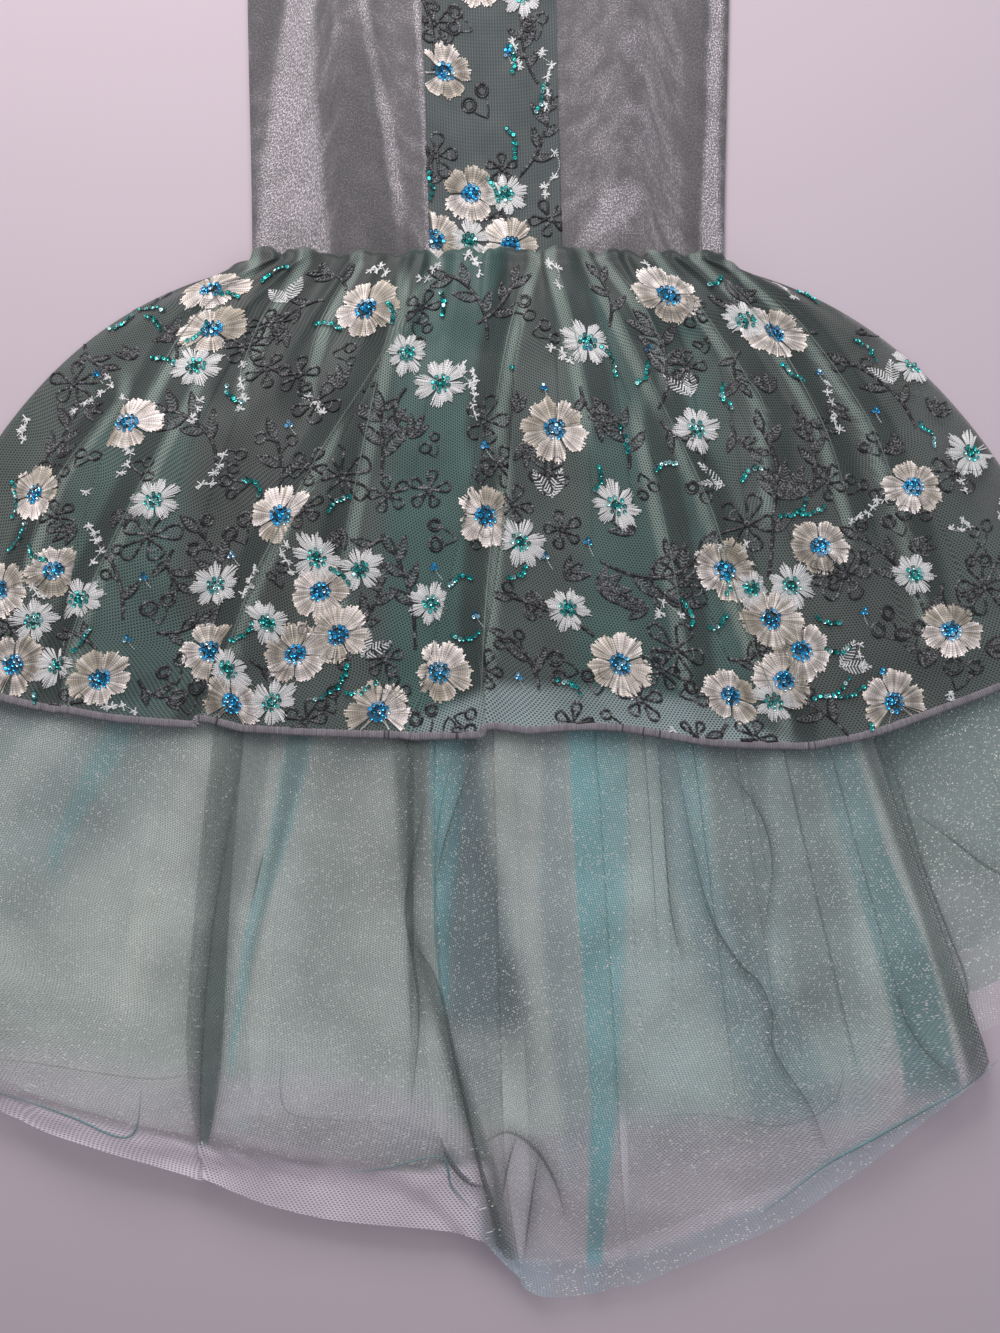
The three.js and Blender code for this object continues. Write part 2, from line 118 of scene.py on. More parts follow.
# ---- The layers' outlines: [u, x, y] along each hem, u running from the left fold, -1, to 1 ----
OVERSKIRT_HEM = [
    [-1, -356, -227], [-0.8, -293, -257], [-0.6, -227, -270], [-0.4, -160, -276],
    [-0.2, -85, -280], [0, -8, -281], [0.2, 67, -276], [0.4, 140, -286],
    [0.6, 210, -284], [0.8, 290, -259], [1, 364, -227],
]
OUTER_CLOTH_HEM = [
    [-1, -388, -432], [-0.75, -290, -498], [-0.5, -188, -530], [-0.3, -100, -540],
    [-0.1, -35, -556], [0.05, 30, -618], [0.2, 82, -616], [0.35, 122, -601],
    [0.55, 175, -578], [0.8, 245, -528], [1, 303, -482],
]
OUTER_NET_HEM = [
    [-1, -395, -440], [-0.75, -293, -508], [-0.5, -190, -545], [-0.3, -105, -573],
    [-0.1, -20, -583], [0.05, 35, -598], [0.2, 80, -588], [0.35, 122, -572],
    [0.55, 175, -552], [0.8, 245, -520], [1, 303, -482],
]
MIDDLE_HEM = [
    [-1, -375, -428], [-0.75, -285, -494], [-0.5, -190, -522], [-0.25, -85, -541],
    [0, 10, -550], [0.25, 90, -572], [0.5, 165, -560], [0.75, 240, -512], [1, 296, -462],
]
INNER_HEM = [
    [-1, -360, -412], [-0.6, -225, -483], [-0.3, -120, -508], [0, 0, -512],
    [0.3, 95, -498], [0.65, 205, -488], [1, 288, -442],
]
BACK_OUTER_HEM = [
    [-1, -402, -425], [-0.6, -255, -490], [-0.3, -130, -530], [0, 0, -552],
    [0.3, 110, -548], [0.65, 270, -478], [1, 400, -415],
]
BACK_MIDDLE_HEM = [
    [-1, -388, -410], [-0.6, -245, -470], [-0.3, -125, -505], [0, 0, -522],
    [0.3, 105, -520], [0.65, 258, -455], [1, 382, -398],
]
BACK_INNER_HEM = [
    [-1, -370, -392], [-0.6, -235, -448], [-0.3, -120, -478], [0, 0, -492],
    [0.3, 100, -490], [0.65, 245, -432], [1, 362, -380],
]
OVERSKIRT_SIDES = ((-41, 86), (37, 82))
FRONT_SIDES = ((-30, 36), (-16, 0))
BACK_SIDES = ((-38, 46), (44, 42))

# Folds: [px x at the waist, px x at the hem, half width in u, rise in mm, lean, how much lower the
# hem is on the crest's side in mm, from and to as shares of the way down]. Past a lean of 1 the
# cloth lies over itself, to the left if the lean is positive. Spread folds have a hem place in u.
OVERSKIRT_FOLDS = [
    [262, 66, 0.085, 2.2, 1.9, -3, 0.05, 1.1],
    [318, 150, 0.05, 1.4, -1.2, 1, 0.0, 0.9],
    [432, 204, 0.08, 3.0, 2.9, -12, 0.02, 1.1],
    [395, 262, 0.05, 1.4, 1.2, 0, 0.0, 0.75],
    [440, 350, 0.06, 1.4, -1.4, 0, 0.0, 0.6],
    [500, 410, 0.06, 1.8, 1.5, 2, 0.0, 1.1],
    [520, 484, 0.075, 2.8, 2.5, -14, 0.05, 1.1],
    [556, 560, 0.05, 1.6, -1.3, 0, 0.0, 0.8],
    [586, 640, 0.05, 1.5, 1.3, 0, 0.0, 0.7],
    [590, 787, 0.07, 2.2, -2.0, 2, 0.0, 1.1],
    [655, 720, 0.05, 1.6, -1.5, 0, 0.0, 0.8],
    [660, 870, 0.06, 1.8, -1.6, 0, 0.0, 0.9],
    [700, 960, 0.07, 1.6, -1.4, 0, 0.05, 1.1],
]
OUTER_FOLDS = [
    [262, 30, 0.08, 2.0, 0.9, 2, 0.1, 1.1],
    [330, 203, 0.09, 2.8, 2.9, -6, 0.0, 1.1],
    [400, 330, 0.07, 1.6, -1.4, 0, 0.0, 0.8],
    [430, 415, 0.06, 1.8, 1.7, 0, 0.2, 0.95],
    [455, 500, 0.05, 2.0, 0.9, 14, 0.6, 1.1],
    [540, 596, 0.07, 1.8, -1.3, 6, 0.0, 1.1],
    [600, 668, 0.06, 1.8, 1.3, 0, 0.0, 0.9],
    [640, 770, 0.07, 2.2, -2.2, 2, 0.0, 1.1],
    [690, 900, 0.07, 2.4, -2.4, 2, 0.0, 1.1],
]
CLOTH_FOLDS = [
    [330, 190, 0.07, 2.0, 1.8, 0, 0.0, 1.1],
    [450, 448, 0.05, 1.8, 2.0, 0, 0.0, 0.9],
    [490, 520, 0.08, 2.4, 2.6, 10, 0.1, 1.1],
    [560, 630, 0.06, 2.0, 2.0, 4, 0.0, 1.1],
    [600, 665, 0.06, 1.8, -2.0, 0, 0.0, 0.9],
    [665, 850, 0.06, 2.0, -2.2, 2, 0.0, 1.1],
]
MIDDLE_FOLDS = [
    [300, 120, 0.09, 2.0, 2.0, 3, 0.1, 1.1],
    [360, 255, 0.08, 2.2, 2.4, -2, 0.0, 1.1],
    [440, 440, 0.08, 2.4, 2.6, 3, 0.0, 1.1],
    [530, 585, 0.09, 2.4, 2.7, 4, 0.0, 1.1],
    [610, 700, 0.08, 2.2, -2.4, 3, 0.0, 1.1],
    [680, 860, 0.09, 2.4, -2.5, 3, 0.0, 1.1],
]
INNER_FOLDS = [
    [340, 230, 0.1, 2.0, 1.6, 2, 0.1, 1.1],
    [470, 470, 0.1, 2.2, 2.2, 2, 0.1, 1.1],
    [560, 640, 0.1, 2.0, -2.0, 2, 0.1, 1.1],
    [650, 800, 0.1, 2.0, -1.8, 2, 0.1, 1.1],
]


def even_folds(phase, count=8, rise=1.4, lean=1.3):
    """Folds spread evenly over a layer that hardly shows."""
    rows = []
    for k in range(count):
        u = -1 + (2 * k + 1) / count
        turned = lean * math.sin(1.9 * k + phase)
        rows.append([WAIST_PX[0] + u * WAIST_HALF / PX, u, 0.8 / count, rise, turned, 1, 0.1, 1.1])
    return rows


# ---- A layer as a surface, in mm ----
LOFT = 1.6  # how high the cloth stands over what it lies on
GATHER_DEPTH = 190
PLEAT_HEIGHT = 2.3
PLEATS = [(0.8, 0.37, 230, 2.0), (1.0, 1, 180, 0), (0.25, 2.1, 90, 1.3)]  # share, rate, length, phase


class Layer:
    """A fan of cloth from the waist seam to a hem, with its folds laid over."""

    def __init__(self, node, hem, sides, folds, columns, rows, gathers=0, name=None):
        self.node = node
        self.name = name or node
        self.seam_row = 0
        self.hem = hem
        self.sides = sides
        self.gathers = gathers
        table = np.asarray(hem, float)
        self.folds = []
        for top, bottom, *shape in folds:
            top_u = (top - WAIST_PX[0]) * PX / WAIST_HALF
            hem_u = bottom if abs(bottom) < 1 else np.interp(plan(bottom, 0)[0], table[:, 1], table[:, 0])
            self.folds.append((top_u, hem_u, *shape))
        even = np.linspace(0, 1, rows)
        self.v = mix(even, smooth(even), 0.35)
        self.u = np.linspace(-1, 1, columns)

    def fan(self, u, v):
        """The flat layer: each thread down the cloth is a curve from the waist to the hem."""
        hem_x, hem_y = read_table(self.hem, u)
        bow = np.abs(u) ** SIDE_BOW
        left, right = self.sides
        points = []
        for waist, hem, side in (
            (WAIST_HALF * u, hem_x, np.where(u < 0, left[0], right[0])),
            (np.full_like(u, -START_BELOW_SEAM), hem_y, np.where(u < 0, left[1], right[1])),
        ):
            middle = (waist + hem) / 2 + side * bow
            points.append((1 - v) ** 2 * waist + 2 * v * (1 - v) * middle + v**2 * hem)
        return points

    def surface(self, u, v):
        """x, y and height over what it lies on, for arrays u and v."""
        step = 0.004
        x, y = self.fan(u, v)
        xa, ya = self.fan(u - step, v)
        xb, yb = self.fan(u + step, v)
        depth = below_waist(x, y)
        from_side = 1 - np.abs(u)
        over, drop, rise = np.zeros_like(x), np.zeros_like(x), np.zeros_like(x)
        for top_u, hem_u, half, height, lean, lower, start, end in self.folds:
            t = np.clip((u - mix(top_u, hem_u, v)) / half, -1, 1)
            strength = smooth((v - start) / 0.2) * (1 - smooth((v - end + 0.25) / 0.25))
            wave = np.sin(np.pi * t) * np.cos(np.pi * t / 2) ** 2
            over -= lean * half / np.pi * wave * strength * smooth(depth / 60)
            rise += height * 0.8 * wave * strength
            drop += lower * smooth((t + 0.2) / 0.4) * (1 - smooth((t - 0.3) / 0.7)) * strength
        over *= smooth(from_side / 0.03) / (2 * step)
        x = x + (xb - xa) * over
        y = y + (yb - ya) * over - drop * v**3
        settled = mix(0.35, 1, smooth(from_side / 0.12))
        pleats = self.pleats(u, depth) * mix(1, 0.25, smooth(depth / GATHER_DEPTH))
        height = (LOFT + rise) * settled * smooth(depth / 40) + pleats
        return x, y, np.maximum(height, 0.1)

    def pleats(self, u, depth):
        """Small gathers that start at the waist seam, coarser ones running further down."""
        crowded = u + 0.03 * np.sin(7 * u + 1) + 0.012 * np.sin(23 * u) + 0.004 * np.sin(57 * u)
        total = np.zeros_like(u)
        for share, rate, length, phase in PLEATS:
            wave = 0.5 + 0.5 * np.sin(np.pi * self.gathers * rate * crowded + phase + 0.008 * depth)
            reach = length * (1 + 0.45 * np.sin(17 * rate * u + 2 * phase))
            total += share * wave**1.5 * (1 - smooth(depth / reach))
        return PLEAT_HEIGHT * total * (self.gathers > 0)


def below_waist(x, y):
    """How far a place is from the waist seam."""
    return np.hypot(np.maximum(0, np.abs(x) - WAIST_HALF), y)


FRONT_ROWS, INNER_ROWS, BACK_ROWS = 88, 56, 44
LAYERS = [
    Layer("overskirt_back", OVERSKIRT_HEM, OVERSKIRT_SIDES, [], 190, BACK_ROWS),
    Layer("underskirt_back_outer", BACK_OUTER_HEM, BACK_SIDES, even_folds(0.4), 180, BACK_ROWS),
    Layer("underskirt_back_middle", BACK_MIDDLE_HEM, BACK_SIDES, even_folds(1.9), 170, BACK_ROWS),
    Layer("underskirt_back_inner", BACK_INNER_HEM, BACK_SIDES, even_folds(3.3), 170, BACK_ROWS),
    Layer("underskirt_front_inner", INNER_HEM, FRONT_SIDES, INNER_FOLDS, 240, INNER_ROWS, 14),
    Layer("underskirt_front_middle", MIDDLE_HEM, FRONT_SIDES, MIDDLE_FOLDS, 350, FRONT_ROWS, 15),
    Layer("underskirt_front_outer", OUTER_CLOTH_HEM, FRONT_SIDES, CLOTH_FOLDS, 430, FRONT_ROWS, 16),
    Layer(
        "underskirt_front_outer", OUTER_NET_HEM, FRONT_SIDES, OUTER_FOLDS, 430, FRONT_ROWS, 16,
        name="underskirt_front_outer_net",
    ),
    Layer("overskirt_front", OVERSKIRT_HEM, OVERSKIRT_SIDES, OVERSKIRT_FOLDS, 470, FRONT_ROWS, 13),
]


# ---- Laying the layers on each other ----
CELL = 2.5  # of the field of heights
FIELD_LEFT, FIELD_BOTTOM = -450.0, -690.0
FIELD_SHAPE = (304, 360)
LAYER_GAP = 0.3
LOWEST = 0.9  # the height of the first layer


def widest(field, steps=1):
    """Each cell takes the highest of its neighbours."""
    for _ in range(steps):
        padded = np.pad(field, 1, mode="edge")
        field = np.maximum.reduce(
            [padded[1 + i : padded.shape[0] - 1 + i, 1 + j : padded.shape[1] - 1 + j]
             for i in (-1, 0, 1) for j in (-1, 0, 1)]
        )
    return field


def blurred(field, steps):
    for _ in range(steps):
        padded = np.pad(field, 1, mode="edge")
        field = (padded[:-2, 1:-1] + padded[2:, 1:-1] + padded[1:-1, :-2] + padded[1:-1, 2:] + 4 * field) / 8
    return field


def cell_of(x, y):
    column = np.clip((x - FIELD_LEFT) / CELL - 0.5, 0, FIELD_SHAPE[1] - 1.001)
    row = np.clip((y - FIELD_BOTTOM) / CELL - 0.5, 0, FIELD_SHAPE[0] - 1.001)
    return row, column


def sample(field, row, column):
    """A grid's value between its points. field is rows x columns, or has a last axis more."""
    r, c = row.astype(int), column.astype(int)
    fr, fc = row - r, column - c
    r1, c1 = np.minimum(r + 1, field.shape[0] - 1), np.minimum(c + 1, field.shape[1] - 1)
    if field.ndim == 3:
        fr, fc = fr[..., None], fc[..., None]
    low = field[r, c] * (1 - fc) + field[r, c1] * fc
    high = field[r1, c] * (1 - fc) + field[r1, c1] * fc
    return low * (1 - fr) + high * fr


def solid_middle(node):
    """How high the middle of a CAD layer's wall lies, as a field, filled past its edges."""
    tree = BVHTree.FromObject(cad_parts[node], bpy.context.evaluated_depsgraph_get())
    coarse = 2
    rows, columns = FIELD_SHAPE[0] // coarse, FIELD_SHAPE[1] // coarse
    field = np.full((rows, columns), -1.0)
    up = Vector((0, 0, 1))
    for r in range(rows):
        y = (FIELD_BOTTOM + (r + 0.5) * CELL * coarse) / 1000 + ORIGIN_Y
        for c in range(columns):
            x = (FIELD_LEFT + (c + 0.5) * CELL * coarse) / 1000 + ORIGIN_X
            hit = tree.ray_cast(Vector((x, y, -0.01)), up)[0]
            if hit is not None:
                field[r, c] = hit.z * 1000
    known = field >= 0
    for _ in range(14):
        field = np.where(known, field, widest(field))
        known = field >= 0
    field = np.where(known, field, 0)
    return blurred(np.kron(field, np.ones((coarse, coarse))), 60)


def lay_down(layers):
    """Gives each layer its points, in order, each one clear of those under it."""
    pile = np.zeros(FIELD_SHAPE)
    for layer in layers:
        u, v = np.meshgrid(layer.u, layer.v)
        x, y, height = layer.surface(u, v)
        row, column = cell_of(x, y)
        lying = blurred(widest(pile, 2), 4)
        clear = sample(lying, row, column) + LAYER_GAP
        solid = sample(solid_middle(layer.node), row, column)
        base = mix(clear, np.maximum(clear, solid), smooth((1 - np.abs(u)) / 0.05))
        if layer is layers[0]:
            base, height = np.full_like(x, LOWEST), 0 * x
        points = np.stack([x, y, base + height], axis=-1)
        np.maximum.at(pile, (row.astype(int), column.astype(int)), points[..., 2])
        layer.u_rows, layer.v_rows = u, v
        if layer.node == "overskirt_front":
            head = head_rows(layer, points[0])
            points = np.concatenate([head, points])
            layer.u_rows = np.concatenate([u[: len(head)], u])
            layer.v_rows = np.concatenate([0 * v[: len(head)], v])
            layer.seam_row = len(head)
        finish(layer, points)
    return pile


def head_rows(layer, first):
    """The head of the gathers, rolled over the bodice's lower edge from the waist seam."""
    u = layer.u
    crowded = u + 0.03 * np.sin(7 * u + 1) + 0.012 * np.sin(23 * u)
    puff = 2.2 + 5.0 * np.abs(np.sin(15 * crowded)) ** 0.6
    puff += 1.6 * np.abs(np.sin(34 * crowded + 1)) + 1.4 * np.sin(5 * u + 0.6)
    pleats = np.convolve(layer.pleats(u, 0 * u), np.ones(15) / 15, mode="same")
    top = np.clip(puff, 1.2, 9.5) * smooth((1 - np.abs(u)) / 0.02)
    seam = FRONT_PANEL_HEIGHT + 1.2
    rows = []
    for t in np.linspace(0, 1, 12)[:-1]:
        reach = math.sin(math.pi * t) ** 0.8
        z = mix(seam, first[:, 2], smooth(t)) + (0.2 * (pleats - 1.2) + 0.4 * (top - 4)) * reach
        rows.append(np.stack([first[:, 0], first[:, 1] + top * reach, np.maximum(z, seam)], axis=-1))
    return np.array(rows)


def finish(surface, points):
    """Keeps a surface's points, and works out its normals and its lengths along and down."""
    surface.points = p = points
    surface.normals = unit(np.cross(np.gradient(p, axis=0), np.gradient(p, axis=1)))
    surface.along = from_middle(totals(np.linalg.norm(np.diff(p, axis=1), axis=-1), 1))
    surface.down = totals(np.linalg.norm(np.diff(p, axis=0), axis=-1), 0)


def from_middle(lengths):
    return lengths - lengths[:, lengths.shape[1] // 2][:, None]


PILE = lay_down(LAYERS)
BY_NAME = {layer.name: layer for layer in LAYERS}


# ---- Meshes ----
def new_object(name, mesh, material, node=None):
    piece = bpy.data.objects.new(name, mesh)
    bpy.context.scene.collection.objects.link(piece)
    mesh.materials.append(material)
    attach(piece, "root")
    if node:
        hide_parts(node)
    return piece


def make_mesh(name, points, faces, uv, colours, smooth_shaded=True):
    """points in garment mm, faces as an array of corners, uv in metres and colours per point."""
    mesh = bpy.data.meshes.new(name)
    faces = np.asarray(faces, np.int32)
    count, corners = faces.shape
    mesh.vertices.add(len(points))
    mesh.vertices.foreach_set("co", to_frame(points).astype(np.float32).ravel())
    mesh.loops.add(count * corners)
    mesh.loops.foreach_set("vertex_index", faces.ravel())
    mesh.polygons.add(count)
    mesh.polygons.foreach_set("loop_start", np.arange(count, dtype=np.int32) * corners)
    mesh.polygons.foreach_set("use_smooth", np.full(count, smooth_shaded))
    cut = mesh.uv_layers.new(name="cut")
    cut.data.foreach_set("uv", uv[faces.ravel()].astype(np.float32).ravel())
    attribute = mesh.color_attributes.new("cloth", "FLOAT_COLOR", "POINT")
    attribute.data.foreach_set("color", colours.astype(np.float32).ravel())
    mesh.update(calc_edges=True)
    mesh.validate()
    return mesh


def grid_faces(rows, columns):
    first = (np.arange(rows - 1)[:, None] * columns + np.arange(columns - 1)[None, :]).ravel()
    return np.stack([first, first + columns, first + columns + 1, first + 1], axis=1)


def plan_lengths(x, y):
    """How far along each row every point is, seen from above, folds counted, from the middle."""
    return from_middle(totals(np.hypot(np.diff(x, axis=1), np.diff(y, axis=1)), 1))


def cloth_uv(surface, turn=0, reach=None):
    """Places on the cloth in metres, turned so that no two nets line up. The grain of a skirt with
    a reach runs down from a point that far above the waist."""
    s, t = surface.along, surface.down
    if reach:
        x, y = surface.fan(surface.u_rows, surface.v_rows)
        points = surface.points
        folded = plan_lengths(points[..., 0], points[..., 1]) - plan_lengths(x, y)
        s = np.arctan2(x, reach - y) * reach * 1.6 + folded
        t = np.hypot(x, reach - y) + np.minimum(surface.down - surface.down[surface.seam_row], 0)
    s, t = s.ravel() / 1000, t.ravel() / 1000
    cos, sin = math.cos(turn), math.sin(turn)
    return np.stack([s * cos - t * sin, s * sin + t * cos], axis=1)


def make_cloth(surface, name, material, node, slot, colours, uv, **sheet):
    """One sheet of cloth over a surface."""
    points = surface.points
    faces = grid_faces(*points.shape[:2])
    mesh = make_mesh(name + "_cloth", points.reshape(-1, 3), faces, uv, colours)
    piece = new_object(name + "_cloth", mesh, material, node)
    return piece


# ---- Materials ----
class Shading:
    """A material with one Principled shader, and short calls for the nodes before it."""

    def __init__(self, name, **sockets):
        self.material = bpy.data.materials.new(name)
        self.material.use_nodes = True
        self.tree = self.material.node_tree
        self.shader = next(n for n in self.tree.nodes if n.type == "BSDF_PRINCIPLED")
        for socket, value in sockets.items():
            self.shader.inputs[socket.replace("_", " ")].default_value = value

    def node(self, kind, inputs=(), **settings):
        node = self.tree.nodes.new(kind)
        for key, value in settings.items():
            setattr(node, key, value)
        for key, value in dict(inputs).items():
            if isinstance(value, bpy.types.NodeSocket):
                self.tree.links.new(value, node.inputs[key])
            else:
                node.inputs[key].default_value = value
        return node

    def math(self, operation, *values, clamp=False):
        inputs = dict(enumerate(values))
        return self.node("ShaderNodeMath", inputs, operation=operation, use_clamp=clamp).outputs[0]

    def map(self, value, low, high, to_low=0.0, to_high=1.0, kind="LINEAR"):
        inputs = {"Value": value, "From Min": low, "From Max": high, "To Min": to_low, "To Max": to_high}
        return self.node("ShaderNodeMapRange", inputs, interpolation_type=kind, clamp=True).outputs[0]

    def blend(self, share, first, second, mode="MIX"):
        inputs = {0: share, 6: first, 7: second}
        return self.node("ShaderNodeMix", inputs, data_type="RGBA", blend_type=mode).outputs[2]

    def tinted(self, shade, colour=None):
        """Feeds the cloth's colour, or this one, times a shade."""
        self.feed("Base Color", self.blend(1.0, colour or self.cloth().outputs["Color"], shade, "MULTIPLY"))

    def noise(self, vector, scale, detail=2.0, roughness=0.5):
        inputs = {"Vector": vector, "Scale": scale, "Detail": detail, "Roughness": roughness}
        return self.node("ShaderNodeTexNoise", inputs).outputs["Fac"]

    def feed(self, socket, value):
        self.tree.links.new(value, self.shader.inputs[socket])

    def bump(self, height, strength, distance):
        inputs = {"Height": height, "Strength": strength, "Distance": distance}
        self.feed("Normal", self.node("ShaderNodeBump", inputs).outputs[0])

    def uv(self):
        return self.node("ShaderNodeUVMap", uv_map="cut").outputs[0]

    def cloth(self):
        return self.node("ShaderNodeVertexColor", layer_name="cloth")


def net(shading, uv, pitch):
    """A hexagonal net of this pitch in metres: 1 on its threads, 0 in its holes."""
    rate = 4 * math.pi / (math.sqrt(3) * pitch)
    total = None
    for angle in (0, 60, 120):
        direction = (rate * math.cos(math.radians(angle)), rate * math.sin(math.radians(angle)), 0)
        dot = shading.node("ShaderNodeVectorMath", {0: uv, 1: direction}, operation="DOT_PRODUCT")
        wave = shading.math("COSINE", dot.outputs["Value"])
        total = wave if total is None else shading.math("ADD", total, wave)
    return shading.map(total, 1.2, -0.6, kind="SMOOTHSTEP")


def tulle(name, pitch, holes, threads, glitter, shine=1.0):
    """A net whose colour and density are the cloth's own, with specks of glitter painted near white as their
    glints.
    The holes are painted darker than the threads, as painted shade of the depth under the net. holes and
    threads are how much of the density is in them."""
    s = Shading(name, Roughness=0.55, Sheen_Weight=0.25, Sheen_Roughness=0.4)
    uv, cloth = s.uv(), s.cloth()
    mesh = net(s, uv, pitch)
    cells = s.node("ShaderNodeTexVoronoi", {"Vector": uv, "Scale": 850.0})
    chosen = s.node("ShaderNodeSeparateColor", {"Color": cells.outputs["Color"]}).outputs[0]
    # painted glints: specks of glitter picked at random are coloured near white and made opaque
    speck = s.math("LESS_THAN", cells.outputs["Distance"], 0.34)
    patch = s.noise(uv, 9.0, 3.0)
    least = 1.02 - 0.45 * glitter
    bright = s.map(s.math("ADD", chosen, s.map(patch, 0.3, 0.7, -0.15, 0.15)), least, least + 0.12)
    glitter_glints = s.math("MULTIPLY", speck, bright)
    cloud = s.map(s.noise(uv, 22.0, 4.0), 0.32, 0.68, 0.74, 1.12)
    # painted shade: the holes get 0.66 of the colour, for the shadowed depth seen through them; the threads
    # get shine times it
    shade = s.math("MULTIPLY", cloud, s.map(mesh, 0, 1, 0.66, shine))
    tinted = s.blend(1.0, cloth.outputs["Color"], shade, "MULTIPLY")
    s.feed("Base Color", s.blend(glitter_glints, tinted, (1.0, 1.0, 0.95, 1)))
    body = s.map(mesh, 0, 1, holes, threads)
    alpha = s.math("MULTIPLY", cloth.outputs["Alpha"], body, clamp=True)
    s.feed("Alpha", s.math("MAXIMUM", alpha, s.math("MULTIPLY", glitter_glints, 0.9)))
    return s.material


def thread_material(name, roughness, sheen, stripe, shades, bump, distortion=1.5, detail=1.0, **sockets):
    """Thread: the stitch's own colour, with painted highlights and shade across the turns of the thread,
    which are bumped as well.
    """
    s = Shading(name, Roughness=roughness, Sheen_Weight=sheen, **sockets)
    inputs = {"Vector": s.uv(), "Scale": stripe, "Distortion": distortion, "Detail": detail}
    wave = s.node("ShaderNodeTexWave", inputs).outputs["Fac"]
    # painted highlights and shade: the colour goes lighter and darker across the turns
    s.tinted(s.map(wave, 0, 1, *shades))
    s.bump(wave, *bump)
    return s.material


def sequin_material():
    s = Shading("sequins", Metallic=0.85, Roughness=0.22, Coat_Weight=0.6, Coat_Roughness=0.1)
    s.feed("Base Color", s.cloth().outputs["Color"])
    return s.material


OVERNET = tulle("embroidered_net", 0.0017, 0.85, 1.5, -0.3, 2.3)
GLITTER_TULLE = tulle("glitter_tulle", 0.0014, 0.8, 1.3, 0.95, 1.1)
SHEER_TULLE = tulle("sheer_tulle", 0.0014, 0.7, 1.4, 0.6, 1.2)
DARK_NET = tulle("dark_net", 0.0016, 0.35, 2.0, 0.2, 1.05)
GLOSS = {"bump": (0.5, 0.0002), "Sheen_Roughness": 0.3, "Anisotropic": 0.5}
SATIN = thread_material("satin_thread", 0.36, 0.35, 230.0, (0.88, 1.12), **GLOSS)
CORD = thread_material("corded_thread", 0.45, 0.1, 190.0, (0.4, 1.6), **GLOSS)
OVERLOCK = thread_material("overlock_thread", 0.6, 0.4, 320.0, (0.6, 1.25), (0.8, 0.0005), 2.5, 2.0)
SEQUIN = sequin_material()


# ---- The cloth's own colour: what shows at each place of each layer ----
SAGE = np.array([0.83, 0.9, 0.85])
TURQUOISE = np.array([0.34, 0.7, 0.73])
SLATE = np.array([0.26, 0.38, 0.44])
DEEP_TEAL = np.array([0.08, 0.17, 0.21])
SMOKE = np.array([0.1, 0.12, 0.115])
GREY_NET = np.array([0.15, 0.185, 0.175])
PALE = np.array([0.95, 1.0, 0.92])
ROSE = np.array([1.0, 0.9, 0.98])
ICE = np.array([0.5, 0.68, 0.76])
LAVENDER = np.array([1.0, 0.95, 1.0])
SEAFOAM = np.array([0.6, 0.84, 0.84])
MIST = np.array([0.28, 0.38, 0.35])
NET_GREEN = np.array([0.052, 0.066, 0.06])
SEA = np.array([0.036, 0.083, 0.073])
BARK = np.array([0.046, 0.05, 0.046])
FOLD_LIGHT = np.array([0.13, 0.165, 0.145])
# painted shade on the far side of the overskirt's folds
FOLD_SHADE = np.array([0.018, 0.026, 0.024])

